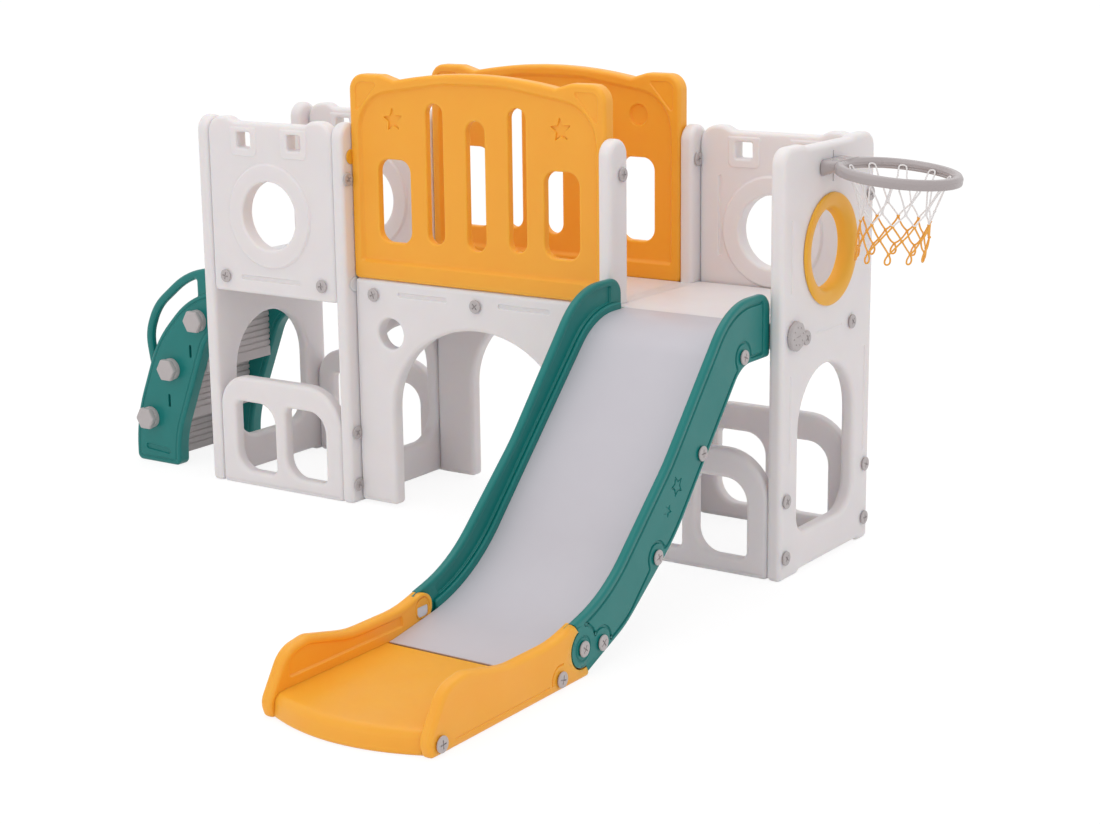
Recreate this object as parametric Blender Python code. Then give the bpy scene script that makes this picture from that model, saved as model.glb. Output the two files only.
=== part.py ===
# Children's slide playset: two towers joined by a bridge, a slide, a ladder
# and a ball hoop with its net. Metres, +Z up, the front of the set toward -Y.

import math

import bmesh
import bpy
from mathutils import Vector

# Towers and bridge
POST_TOP = 1.100
DEPTH = 0.500
PANEL_T = 0.040
TOWER_GAP = 0.465
BRIDGE_GAP = 0.850
DECK_TOP = 0.668
DECK_T = 0.066
POST_W = 0.088
PANEL_RIM = 0.010

# Clearances between pieces
FIT = 0.0003
SIDE_GAP = 0.0003

# Doorway through the tall panels
DOOR_SILL = 0.113
DOOR_APEX = 0.485
DOOR_CORNER = 0.080
PASSAGE_CORNER = 0.050
SILL_CORNER = 0.014
FOOT_FRONT = 0.100
FOOT_REAR = 0.050
FOOT_LIFT = 0.008

# End panel that carries the hoop
END_TOP = 1.106
END_DIP = 0.007
END_EAR = 0.110
END_DOOR_SIDE = 0.095
END_DOOR_SILL = 0.107
END_DOOR_APEX = 0.529
RING_Z = 0.827
RING_OUTER = 0.1455
RING_INNER = 0.099
RING_SLEEVE = 0.112
RING_PROUD = 0.008
KNOB_Z = 0.633
KNOB_R = 0.038
KNOB_PROUD = 0.014

# Panels across the towers
CROSS_INSET = 0.004
CROSS_T = 0.042
CROSS_RIM = 0.007
UPPER_DROP = 0.081
UPPER_DIP = 0.013
EAR_RUN = 0.100
EAR_R = 0.050
WINDOW_R = 0.100
WINDOW_RIM_R = 0.155
WINDOW_Z = 0.820
WINDOW_SHIFT = -0.006
RELIEF = 0.006
GRIP_W = 0.050
GRIP_H = 0.045
GRIP_APART = 0.189
GRIP_DROP = 0.064
PAD_W = 0.100
LOWER_H = 0.331
LOWER_LEFT_R = 0.095
LOWER_RIGHT_R = 0.130
PANE_LEFT = 0.0585
PANE_W = 0.151
PANE_WEB = 0.042
PANE_SILL = 0.045
PANE_H = 0.210
PANE_SMALL_R = 0.020
PANE_LARGE_R = 0.062

# Bridge
BRIDGE_INSET = 0.040
BRIDGE_T = 0.045
ARCH_HALF = 0.294
ARCH_SPRING = 0.290
ARCH_RISE = 0.256
PORT_R = 0.044
PORT_OUT = 0.301
PORT_Z = 0.510
RAIL_SEAT = 0.006
RAIL_H = 0.585
RAIL_EAR_DROP = 0.011
RAIL_NOTCH_DROP = 0.025
RAIL_NOTCH_AT = 0.268
RAIL_EAR_W = 0.045
RAIL_BAND = 0.046
RAIL_FRAME = 0.034
SLIT_W = 0.057
SLIT_AT = 0.1375
SLIT_LOW = 0.114
SLIT_TOP = 0.501
MID_SLIT_W = 0.062
MID_SLIT_LOW = 0.106
MID_SLIT_TOP = 0.460
SIDE_WINDOW_W = 0.112
SIDE_WINDOW_AT = 0.280
SIDE_WINDOW_LOW = 0.108
SIDE_WINDOW_TOP = 0.341

# Slide
SLIDE_WALL_GAP = 0.003
SLIDE_WALL_T = 0.031
SLIDE_BACK = 0.017
SLIDE_HEAD = 0.125
SLIDE_ANGLE = math.radians(45.5)
RUNOUT_ANGLE = math.radians(9.1)
RUNOUT_TOP = 0.1057
EXIT_TOP = 0.055
EXIT_RUN = 0.365
EXIT_RIM = 0.064
BED_LAP = 0.006
TOE_RIM = 0.097
TOE_DROP = 0.012
TOE_NOSE = 0.072
TOE_NOSE_Z = 0.030
TOE_FOOT = 0.050
TOE_RISE_RUN = 0.070
RIM_RISE_AT = 0.135
RIM_LAP = 0.045
EXIT_BOW = 0.045
BED_T = 0.028
HEAD_R = 0.210
BEND_R = 0.500
KNUCKLE_R = 0.045
KNUCKLE_AHEAD = 0.152
KNUCKLE_UP = 0.017
KNUCKLE_CUT = 0.026
TAB_CLEAR = 0.0006

# Ladder
LADDER_INSET = 0.060
LADDER_T = 0.045
LADDER_REACH = 0.375
LADDER_FOOT = 0.181
STRINGER_TOP_Z = 0.577
STRINGER_UNDER_Z = 0.470
STRINGER_CREST_AT = 0.373
STRINGER_CREST_DROP = 0.052
HANDRAIL_Z = 0.628
HANDRAIL_R = 0.013
GRAB_END = 0.098
GRAB_R = 0.018
NUT_R = 0.036
NUT_COLLAR_R = 0.037
NUT_PROUD = 0.030
TREAD_T = 0.030
TREAD_DEPTH = 0.060
TREAD_BEHIND = 0.016
TOP_TREAD_BEHIND = -0.012
TREAD_ABOVE = 0.028
TREAD_DROP = 0.168
TREAD_PITCH = 0.0185
TREAD_GROOVE = 0.004

# Hoop and net
HOOP_REACH = 0.186
HOOP_R = 0.146
HOOP_W = 0.026
HOOP_H = 0.026
HOOP_Z = 1.031
HOOP_DROOP = math.radians(6)
HOOK_Z = 1.039
BRACKET_W = 0.080
BRACKET_H = 0.060
PLUG_W = 0.044
PLUG_LENGTH = 0.036
NET_LOOPS = 12
NET_ROWS = 5
NET_DROP = 0.220
NET_FOOT_R = 0.088
NET_SKEW = 0.020
NET_CORD = 0.005

# Bolt caps
BOLT_R = 0.0215
BOLT_PROUD = 0.008
BOLT_EDGE = 0.028
BOLT_LOW = 0.061
BOLT_MID = 0.211
BOLT_HIGH = 0.943
DECK_BOLT_DROP = 0.050
DECK_BOLT_SHARE = 0.246
KNOB_TO_BOLT = 0.0025

# Places along X, from the outer face of the ladder end panel
LEFT_INNER = PANEL_T
LEFT_END = LEFT_INNER + TOWER_GAP + PANEL_T
RIGHT_START = LEFT_END + BRIDGE_GAP
RIGHT_INNER = RIGHT_START + PANEL_T
END_INNER = RIGHT_INNER + TOWER_GAP
END_FACE = END_INNER + PANEL_T
BRIDGE_MID = LEFT_END + BRIDGE_GAP / 2
MID_Y = DEPTH / 2
DECK_BOLT_Y = DEPTH * DECK_BOLT_SHARE
KNOB_Y = DECK_BOLT_Y - BOLT_R - KNOB_TO_BOLT - KNOB_R

# The slide's path: head, slope, run-out and floor
HEAD_AT = Vector((-SLIDE_HEAD, DECK_TOP))
BEND_Y = -SLIDE_HEAD - (DECK_TOP - RUNOUT_TOP) / math.tan(SLIDE_ANGLE)
BEND_AT = Vector((BEND_Y, RUNOUT_TOP))
EXIT_Y = BEND_Y - (RUNOUT_TOP - EXIT_TOP) / math.tan(RUNOUT_ANGLE)
EXIT_AT = Vector((EXIT_Y, EXIT_TOP))
TOE_Y = EXIT_Y - EXIT_RUN
KNUCKLE = EXIT_AT + Vector((KNUCKLE_AHEAD, KNUCKLE_UP))
JOINT_Y = KNUCKLE.x - KNUCKLE_CUT
BED_END = EXIT_AT.x - BED_LAP
TOE_FRONT = TOE_Y - EXIT_BOW - 0.040

# The middle of the whole set, which the model stands over
HOOP_X = END_FACE + HOOP_REACH
HOOP_TIP = (HOOP_R + HOOP_W / 2) * math.cos(HOOP_DROOP)
HOOP_TIP += HOOP_H / 2 * math.tan(math.pi / 8) * math.sin(HOOP_DROOP)
CENTRE_X = (HOOP_X + HOOP_TIP - LADDER_REACH) / 2
CENTRE_Y = (TOE_FRONT + DEPTH) / 2

ARC_STEP = math.radians(28)
FACING_X = (math.radians(90), 0.0, math.radians(90))
FACING_FRONT = (math.radians(90), 0.0, 0.0)
UPRIGHT = (0.0, 0.0, 0.0)


def clear_scene():
    for item in list(bpy.data.objects):
        bpy.data.objects.remove(item, do_unlink=True)


def linear(channel):
    if channel <= 0.04045:
        return channel / 12.92
    return ((channel + 0.055) / 1.055) ** 2.4


def material(name, red, green, blue, roughness):
    made = bpy.data.materials.new(name)
    made.use_nodes = True
    shader = made.node_tree.nodes["Principled BSDF"]
    colour = (linear(red / 255), linear(green / 255), linear(blue / 255), 1.0)
    shader.inputs["Base Color"].default_value = colour
    shader.inputs["Roughness"].default_value = roughness
    shader.inputs["Metallic"].default_value = 0.0
    made.diffuse_color = colour
    return made


def rounded(corners, step=ARC_STEP):
    """Closed outline through (u, v, radius) corners, each with its fillet."""
    outline = []
    count = len(corners)
    for index in range(count):
        u, v, radius = corners[index]
        here = Vector((u, v))
        before = Vector(corners[index - 1][:2])
        after = Vector(corners[(index + 1) % count][:2])
        outline += fillet(before, here, after, radius, step)
    return tidy(outline)


def fillet(before, here, after, radius, step=ARC_STEP):
    """Points of the arc that rounds the corner at here."""
    arriving = (before - here).normalized()
    leaving = (after - here).normalized()
    opening = math.acos(max(-1.0, min(1.0, arriving.dot(leaving))))
    turn = math.pi - opening
    if radius <= 0.0 or turn < 0.01:
        return [here]
    reach = radius * math.tan(turn / 2)
    room = min((before - here).length, (after - here).length) * 0.999
    if reach > room:
        reach = room
        radius = reach / math.tan(turn / 2)
    centre = here + (arriving + leaving).normalized() * (radius / math.sin(opening / 2))
    start = here + arriving * reach - centre
    finish_arm = here + leaving * reach - centre
    sweep = math.atan2(start.x * finish_arm.y - start.y * finish_arm.x, start.dot(finish_arm))
    pieces = max(1, math.ceil(abs(sweep) / step))
    points = []
    for piece in range(pieces + 1):
        angle = sweep * piece / pieces
        turned = Vector((start.x * math.cos(angle) - start.y * math.sin(angle),
                         start.x * math.sin(angle) + start.y * math.cos(angle)))
        points.append(centre + turned)
    return points


def tidy(points):
    """The outline without points that repeat their neighbour."""
    kept = []
    for point in points:
        if not kept or (point - kept[-1]).length > 0.0008:
            kept.append(point)
    if (kept[0] - kept[-1]).length <= 0.0008:
        kept.pop()
    return kept


def path(corners, step=ARC_STEP):
    """Open line through (u, v, radius) corners with its bends rounded."""
    points = [Vector(corners[0][:2])]
    for index in range(1, len(corners) - 1):
        u, v, radius = corners[index]
        before = Vector(corners[index - 1][:2])
        after = Vector(corners[index + 1][:2])
        points += fillet(before, Vector((u, v)), after, radius, step)
    points.append(Vector(corners[-1][:2]))
    return tidy(points)


def circle(u, v, radius, count):
    points = []
    for index in range(count):
        angle = 2 * math.pi * (index + 0.5) / count
        points.append(Vector((u + radius * math.cos(angle), v + radius * math.sin(angle))))
    return points


def box_loop(left, low, right, high, radius, step=ARC_STEP):
    corners = [(left, low, radius), (right, low, radius), (right, high, radius), (left, high, radius)]
    return rounded(corners, step)


def offset_loop(points, distance):
    """The outline moved to its left by distance, with mitred corners."""
    moved = []
    count = len(points)
    for index in range(count):
        before = points[index] - points[index - 1]
        after = points[(index + 1) % count] - points[index]
        before_left = Vector((-before.y, before.x)).normalized()
        after_left = Vector((-after.y, after.x)).normalized()
        share = max(0.35, 1.0 + before_left.dot(after_left))
        moved.append(points[index] + (before_left + after_left) * (distance / share))
    return moved


def turned_left(points):
    """The same outline, counterclockwise."""
    area = sum(points[i - 1].x * points[i].y - points[i].x * points[i - 1].y
               for i in range(len(points)))
    return list(points) if area > 0 else list(reversed(points))


def ring_verts(bm, points, height):
    return [bm.verts.new((point.x, point.y, height)) for point in points]


def ring_edges(bm, ring):
    edges = []
    for index in range(len(ring)):
        known = bm.edges.get((ring[index - 1], ring[index]))
        edges.append(known or bm.edges.new((ring[index - 1], ring[index])))
    return edges


def wall(bm, low, high):
    for index in range(len(low)):
        bm.faces.new((low[index - 1], low[index], high[index], high[index - 1]))


def rim_rings(bm, loop, inward, rim, low, high):
    """Walls round one loop, chamfered at both faces; gives its low and high rings."""
    shut = offset_loop(loop, rim * inward)
    rings = [ring_verts(bm, shut, low), ring_verts(bm, loop, low + rim),
             ring_verts(bm, loop, high - rim), ring_verts(bm, shut, high)]
    for first, second in zip(rings, rings[1:]):
        wall(bm, first, second)
    return rings[0], rings[-1]


def plate(outline, holes, thickness, rim, reliefs=(), back_reliefs=False):
    """A moulded plate from z 0 to its thickness, with chamfered rims.

    Each relief is an outline, its own holes, the width of its slope and its lift.
    """
    bm = bmesh.new()
    low_ring, high_ring = rim_rings(bm, turned_left(outline), 1, rim, 0.0, thickness)
    low_edges = ring_edges(bm, low_ring)
    high_edges = ring_edges(bm, high_ring)
    for hole in holes:
        low_ring, high_ring = rim_rings(bm, turned_left(hole), -1, rim, 0.0, thickness)
        low_edges += ring_edges(bm, low_ring)
        high_edges += ring_edges(bm, high_ring)
    for loop, loop_holes, slope, lift in reliefs:
        loop = turned_left(loop)
        drop = lift if back_reliefs else 0.0
        field_high = []
        field_low = []
        for hole in loop_holes:
            low_ring, high_ring = rim_rings(bm, turned_left(hole), -1, rim, -drop, thickness + lift)
            field_low += ring_edges(bm, low_ring)
            field_high += ring_edges(bm, high_ring)
        inside = offset_loop(loop, slope)
        border = ring_verts(bm, loop, thickness)
        raised = ring_verts(bm, inside, thickness + lift)
        wall(bm, border, raised)
        high_edges += ring_edges(bm, border)
        bmesh.ops.triangle_fill(bm, use_beauty=True, edges=field_high + ring_edges(bm, raised))
        if not back_reliefs:
            low_edges += field_low
            continue
        border = ring_verts(bm, loop, 0.0)
        raised = ring_verts(bm, inside, -drop)
        wall(bm, border, raised)
        low_edges += ring_edges(bm, border)
        bmesh.ops.triangle_fill(bm, use_beauty=True, edges=field_low + ring_edges(bm, raised))
    bmesh.ops.triangle_fill(bm, use_beauty=True, edges=high_edges)
    bmesh.ops.triangle_fill(bm, use_beauty=True, edges=low_edges)
    bmesh.ops.recalc_face_normals(bm, faces=list(bm.faces))
    return bm


def turned(profile, count):
    """A solid of revolution about the local Z axis from (radius, z) points."""
    bm = bmesh.new()
    verts = [bm.verts.new((radius, 0.0, height)) for radius, height in profile]
    edges = [bm.edges.new((verts[i - 1], verts[i])) for i in range(1, len(verts))]
    if profile[0][0] > 0.0:
        edges.append(bm.edges.new((verts[-1], verts[0])))
    bmesh.ops.spin(bm, geom=verts + edges, axis=(0, 0, 1), cent=(0, 0, 0), angle=2 * math.pi,
                   steps=count, use_merge=True, use_duplicate=False)
    bmesh.ops.remove_doubles(bm, verts=list(bm.verts), dist=0.00002)
    bmesh.ops.recalc_face_normals(bm, faces=list(bm.faces))
    return bm


def stacked(levels):
    """A solid from loops of equal count, one above the other, closed at both ends."""
    bm = bmesh.new()
    rings = []
    for radii, height in levels:
        ring = []
        for index, radius in enumerate(radii):
            angle = 2 * math.pi * index / len(radii)
            ring.append(bm.verts.new((radius * math.cos(angle), radius * math.sin(angle), height)))
        rings.append(ring)
    for low, high in zip(rings, rings[1:]):
        for index in range(len(low)):
            after = (index + 1) % len(low)
            bm.faces.new((low[index], low[after], high[after], high[index]))
    bm.faces.new(list(reversed(rings[0])))
    bm.faces.new(rings[-1])
    bmesh.ops.recalc_face_normals(bm, faces=list(bm.faces))
    return bm


def block(width, length, height, edge):
    """A rounded board with its low corner at the local origin."""
    bm = bmesh.new()
    bmesh.ops.create_cube(bm, size=1.0)
    bmesh.ops.scale(bm, vec=(width, length, height), verts=list(bm.verts))
    bmesh.ops.translate(bm, vec=(width / 2, length / 2, height / 2), verts=list(bm.verts))
    bmesh.ops.bevel(bm, geom=list(bm.edges), offset=edge, segments=1, affect="EDGES", profile=0.5)
    return bm


def place(name, bm, look, origin, location, rotation=UPRIGHT, smooth=None):
    mesh = bpy.data.meshes.new(name)
    bm.to_mesh(mesh)
    bm.free()
    mesh.materials.append(look)
    if smooth is not None:
        mesh.shade_smooth()
        mesh.set_sharp_from_angle(angle=math.radians(smooth))
    made = bpy.data.objects.new(name, mesh)
    bpy.context.collection.objects.link(made)
    made.parent = origin
    made.location = location
    made.rotation_euler = rotation
    return made


def cutter(target, bm, location, rotation, number):
    """Cuts a guide solid out of the target."""
    guide = place(target.name + "_cut_" + str(number), bm, target.data.materials[0], target.parent,
                  location, rotation)
    guide.hide_render = True
    guide.display_type = "WIRE"
    cut = target.modifiers.new("cut " + str(number), "BOOLEAN")
    cut.operation = "DIFFERENCE"
    cut.solver = "EXACT"
    cut.object = guide
    return guide


def merged(target, bm, location, rotation, number):
    """Joins a second solid to the target."""
    guide = place(target.name + "_join_" + str(number), bm, target.data.materials[0], target.parent,
                  location, rotation)
    guide.hide_render = True
    guide.display_type = "WIRE"
    join = target.modifiers.new("join " + str(number), "BOOLEAN")
    join.operation = "UNION"
    join.solver = "EXACT"
    join.object = guide
    return guide


def foot_corners():
    """The two feet of a tall panel, with the low edge between them raised."""
    slope = FOOT_LIFT * 1.5
    return [(0.0, 0.0, 0.015), (FOOT_FRONT, 0.0, 0.012), (FOOT_FRONT + slope, FOOT_LIFT, 0.004),
            (DEPTH - FOOT_REAR - slope, FOOT_LIFT, 0.004), (DEPTH - FOOT_REAR, 0.0, 0.012),
            (DEPTH, 0.0, 0.015)]


def doorway_outline():
    crown = POST_W / 2
    return rounded(foot_corners() + [
        (DEPTH, POST_TOP, crown), (DEPTH - POST_W, POST_TOP, crown),
        (DEPTH - POST_W, DECK_TOP - RAIL_SEAT, SILL_CORNER),
        (POST_W, DECK_TOP - RAIL_SEAT, SILL_CORNER),
        (POST_W, POST_TOP, crown), (0.0, POST_TOP, crown)])


def doorway_hole():
    side = POST_W + 0.002
    arch = (DEPTH - 2 * side) / 2
    return rounded([(side, DOOR_SILL, DOOR_CORNER), (DEPTH - side, DOOR_SILL, DOOR_CORNER),
                    (DEPTH - side, DOOR_APEX, arch), (side, DOOR_APEX, arch)])


def end_outline():
    return rounded(foot_corners() + [
        (DEPTH, END_TOP, 0.045), (DEPTH - END_EAR, END_TOP, 0.020),
        (DEPTH - END_EAR - 0.020, END_TOP - END_DIP, 0.020),
        (END_EAR + 0.020, END_TOP - END_DIP, 0.020), (END_EAR, END_TOP, 0.020),
        (0.0, END_TOP, 0.045)])


def end_door():
    arch = DEPTH / 2 - END_DOOR_SIDE
    return rounded([(END_DOOR_SIDE, END_DOOR_SILL, PASSAGE_CORNER),
                    (DEPTH - END_DOOR_SIDE, END_DOOR_SILL, DOOR_CORNER),
                    (DEPTH - END_DOOR_SIDE, END_DOOR_APEX, arch),
                    (END_DOOR_SIDE, END_DOOR_APEX, arch)])


def tall_panels(origin, white):
    for name, x in (("ladder_end_panel", 0.0), ("bridge_panel_left", LEFT_END - PANEL_T),
                    ("bridge_panel_right", RIGHT_START)):
        bm = plate(doorway_outline(), [doorway_hole()], PANEL_T, PANEL_RIM)
        place(name, bm, white, origin, (x, 0.0, 0.0), FACING_X)
    slot = PLUG_W / 2 + FIT
    slot_loop = box_loop(MID_Y - slot, HOOK_Z - slot, MID_Y + slot, HOOK_Z + slot, 0.0)
    bore = circle(MID_Y, RING_Z, (RING_SLEEVE + FIT) / math.cos(math.pi / 22), 22)
    bm = plate(end_outline(), [end_door(), bore], PANEL_T, PANEL_RIM)
    panel = place("hoop_end_panel", bm, white, origin, (END_INNER, 0.0, 0.0), FACING_X)
    guide = plate(slot_loop, [], PANEL_T * 2, 0.001)
    cutter(panel, guide, (END_INNER - PANEL_T / 2, 0.0, 0.0), FACING_X, 1)


def upper_panel():
    """Panel with a round window, two square grips and an ear at each corner."""
    left = SIDE_GAP
    right = TOWER_GAP - SIDE_GAP
    low = DECK_TOP - UPPER_DROP
    dip = POST_TOP - UPPER_DIP
    slope = EAR_RUN * 0.75
    outline = rounded([
        (left, low, 0.010), (right, low, 0.010), (right, POST_TOP, EAR_R),
        (right - slope, POST_TOP, 0.030), (right - EAR_RUN, dip, 0.030),
        (left + EAR_RUN, dip, 0.030), (left + slope, POST_TOP, 0.030), (left, POST_TOP, EAR_R)])
    middle = TOWER_GAP / 2
    window = circle(middle + WINDOW_SHIFT, WINDOW_Z, WINDOW_R, 24)
    border = circle(middle + WINDOW_SHIFT, WINDOW_Z, WINDOW_RIM_R, 24)
    reliefs = [(border, [window], 0.006, RELIEF)]
    grip_z = POST_TOP - GRIP_DROP
    for side in (-1, 1):
        grip_u = middle + side * GRIP_APART / 2
        grip = box_loop(grip_u - GRIP_W / 2, grip_z - GRIP_H / 2,
                        grip_u + GRIP_W / 2, grip_z + GRIP_H / 2, 0.0)
        pad_low = grip_z - GRIP_H / 2 - 0.026
        pad_high = min(grip_z + GRIP_H / 2 + 0.014, dip - CROSS_RIM - 0.003)
        pad = box_loop(grip_u - PAD_W / 2, pad_low, grip_u + PAD_W / 2, pad_high, 0.016,
                       math.radians(46))
        reliefs.append((pad, [grip], 0.004, RELIEF / 2))
    return plate(outline, [], CROSS_T, CROSS_RIM, reliefs)


def lower_panel():
    """Low panel with two windows of unlike corners."""
    left = SIDE_GAP
    right = TOWER_GAP - SIDE_GAP
    outline = rounded([(left, 0.0, 0.010), (right, 0.0, 0.010), (right, LOWER_H, LOWER_RIGHT_R),
                       (left, LOWER_H, LOWER_LEFT_R)])
    holes = []
    for number in range(2):
        start = PANE_LEFT + number * (PANE_W + PANE_WEB)
        top = PANE_SILL + PANE_H
        holes.append(rounded([(start, PANE_SILL, PANE_LARGE_R), (start + PANE_W, PANE_SILL, PANE_SMALL_R),
                              (start + PANE_W, top, PANE_LARGE_R), (start, top, PANE_SMALL_R)]))
    return plate(outline, holes, CROSS_T, CROSS_RIM)


def cross_panels(origin, white):
    front = CROSS_INSET + CROSS_T
    rear = DEPTH - CROSS_INSET
    for name, x, y in (("upper_panel_left_front", LEFT_INNER, front),
                       ("upper_panel_left_rear", LEFT_INNER, rear),
                       ("upper_panel_right_rear", RIGHT_INNER, rear)):
        place(name, upper_panel(), white, origin, (x, y, 0.0), FACING_FRONT)
    for name, x, y in (("lower_panel_left_front", LEFT_INNER, front),
                       ("lower_panel_left_rear", LEFT_INNER, rear),
                       ("lower_panel_right_front", RIGHT_INNER, front),
                       ("lower_panel_right_rear", RIGHT_INNER, rear)):
        place(name, lower_panel(), white, origin, (x, y, 0.0), FACING_FRONT)


def arch_panel():
    """Bridge side with an arch to crawl through and a round port."""
    half = BRIDGE_GAP / 2 - SIDE_GAP
    top = DECK_TOP - RAIL_SEAT - FIT
    outline = [Vector((-half, FOOT_LIFT)), Vector((-ARCH_HALF, FOOT_LIFT))]
    for index in range(13):
        angle = math.pi * (1 - index / 12)
        outline.append(Vector((ARCH_HALF * math.cos(angle), ARCH_SPRING + ARCH_RISE * math.sin(angle))))
    outline += [Vector((ARCH_HALF, FOOT_LIFT)), Vector((half, FOOT_LIFT)), Vector((half, top)),
                Vector((-half, top))]
    port = circle(-PORT_OUT, PORT_Z, PORT_R, 12)
    return plate(outline, [port], BRIDGE_T, CROSS_RIM)


def rail_outline():
    """Bridge rail: a long low arc between two ears."""
    half = BRIDGE_GAP / 2 - SIDE_GAP * 2
    low = DECK_TOP - RAIL_SEAT
    top = low + RAIL_H
    ear = top - RAIL_EAR_DROP
    notch = top - RAIL_NOTCH_DROP
    ear_in = half - RAIL_EAR_W * 2.4
    arc_rise = RAIL_NOTCH_DROP
    arc_r = (RAIL_NOTCH_AT ** 2 + arc_rise ** 2) / (2 * arc_rise)
    corners = [(-half, low, 0.012), (half, low, 0.012), (half, ear, RAIL_EAR_W), (ear_in, ear, 0.030)]
    for index in range(7):
        along = RAIL_NOTCH_AT * (1 - index / 3)
        height = top - arc_r + math.sqrt(arc_r ** 2 - along ** 2)
        corners.append((along, height, 0.0))
    corners += [(-ear_in, ear, 0.030), (-half, ear, RAIL_EAR_W)]
    return rounded(corners)


def rail_field():
    """Sunk field of a rail, under its arc."""
    half = BRIDGE_GAP / 2 - SIDE_GAP * 2
    low = DECK_TOP - RAIL_SEAT
    edge = RAIL_FRAME
    top = low + RAIL_H - edge * 0.62
    return rounded([(-half + edge, low + RAIL_BAND, 0.012), (half - edge, low + RAIL_BAND, 0.012),
                    (half - edge, top - 0.040, 0.110), (0.10, top, 0.300), (-0.10, top, 0.300),
                    (-half + edge, top - 0.040, 0.110)])


def rail_holes():
    low = DECK_TOP - RAIL_SEAT
    holes = []
    for side in (-1, 1):
        mid = side * SIDE_WINDOW_AT
        holes.append(box_loop(mid - SIDE_WINDOW_W / 2, low + SIDE_WINDOW_LOW,
                              mid + SIDE_WINDOW_W / 2, low + SIDE_WINDOW_TOP, 0.035, math.radians(31)))
        mid = side * SLIT_AT
        holes.append(box_loop(mid - SLIT_W / 2, low + SLIT_LOW,
                              mid + SLIT_W / 2, low + SLIT_TOP, SLIT_W / 2, math.radians(46)))
    holes.append(box_loop(-MID_SLIT_W / 2, low + MID_SLIT_LOW, MID_SLIT_W / 2, low + MID_SLIT_TOP,
                          MID_SLIT_W / 2, math.radians(46)))
    return holes


def bridge(origin, white, orange):
    front = BRIDGE_INSET + BRIDGE_T
    rear = DEPTH - BRIDGE_INSET
    for place_name, y in (("front", front), ("rear", rear)):
        place("arch_panel_" + place_name, arch_panel(), white, origin, (BRIDGE_MID, y, 0.0), FACING_FRONT)
        relief = (rail_field(), rail_holes(), 0.006, -0.005)
        bm = plate(rail_outline(), [], BRIDGE_T, CROSS_RIM, [relief])
        place("rail_" + place_name, bm, orange, origin, (BRIDGE_MID, y, 0.0), FACING_FRONT)


def decks(origin, white):
    low = DECK_TOP - DECK_T
    cross_in = CROSS_INSET + CROSS_T + RELIEF + FIT
    bridge_in = BRIDGE_INSET + BRIDGE_T + FIT
    bm = block(TOWER_GAP - 2 * SIDE_GAP, DEPTH - 2 * cross_in, DECK_T, 0.006)
    place("deck_left", bm, white, origin, (LEFT_INNER + SIDE_GAP, cross_in, low))
    bm = block(BRIDGE_GAP - 2 * SIDE_GAP, DEPTH - 2 * bridge_in, DECK_T, 0.006)
    place("deck_bridge", bm, white, origin, (LEFT_END + SIDE_GAP, bridge_in, low))
    front = SLIDE_BACK + FIT
    bm = block(TOWER_GAP - 2 * SIDE_GAP, DEPTH - cross_in - front, DECK_T, 0.006)
    place("deck_right", bm, white, origin, (RIGHT_INNER + SIDE_GAP, front, low))


def bed_path(drop):
    """The slide's surface from the deck to the toe, lowered by drop across itself."""
    half_head = SLIDE_ANGLE / 2
    half_bend = (SLIDE_ANGLE + RUNOUT_ANGLE) / 2
    bend_open = (SLIDE_ANGLE - RUNOUT_ANGLE) / 2
    head = HEAD_AT + Vector((math.sin(half_head), -math.cos(half_head))) * drop / math.cos(half_head)
    bend = BEND_AT + Vector((math.sin(half_bend), -math.cos(half_bend))) * drop / math.cos(bend_open)
    exit_half = RUNOUT_ANGLE / 2
    exit_at = EXIT_AT + Vector((math.sin(exit_half), -math.cos(exit_half))) * drop / math.cos(exit_half)
    return [(SLIDE_BACK, DECK_TOP - drop, 0.0), (head.x, head.y, HEAD_R - drop),
            (bend.x, bend.y, BEND_R + drop), (exit_at.x, exit_at.y, 0.300),
            (TOE_Y, EXIT_TOP - drop, 0.0)]


def split_path(points, at):
    """Parts of an open line on both sides of the plane y = at."""
    near = []
    far = []
    for before, after in zip(points, points[1:]):
        if before.x >= at:
            near.append(before)
        if before.x >= at > after.x:
            share = (before.x - at) / (before.x - after.x)
            crossing = before.lerp(after, share)
            near.append(crossing)
            far.append(crossing)
        if after.x < at:
            far.append(after)
    return near, far


def bed_outline():
    top = split_path(path(bed_path(0.0), math.radians(7)), BED_END + FIT)[0]
    under = split_path(path(bed_path(BED_T), math.radians(7)), BED_END + FIT)[0]
    return top + list(reversed(under))


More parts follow.
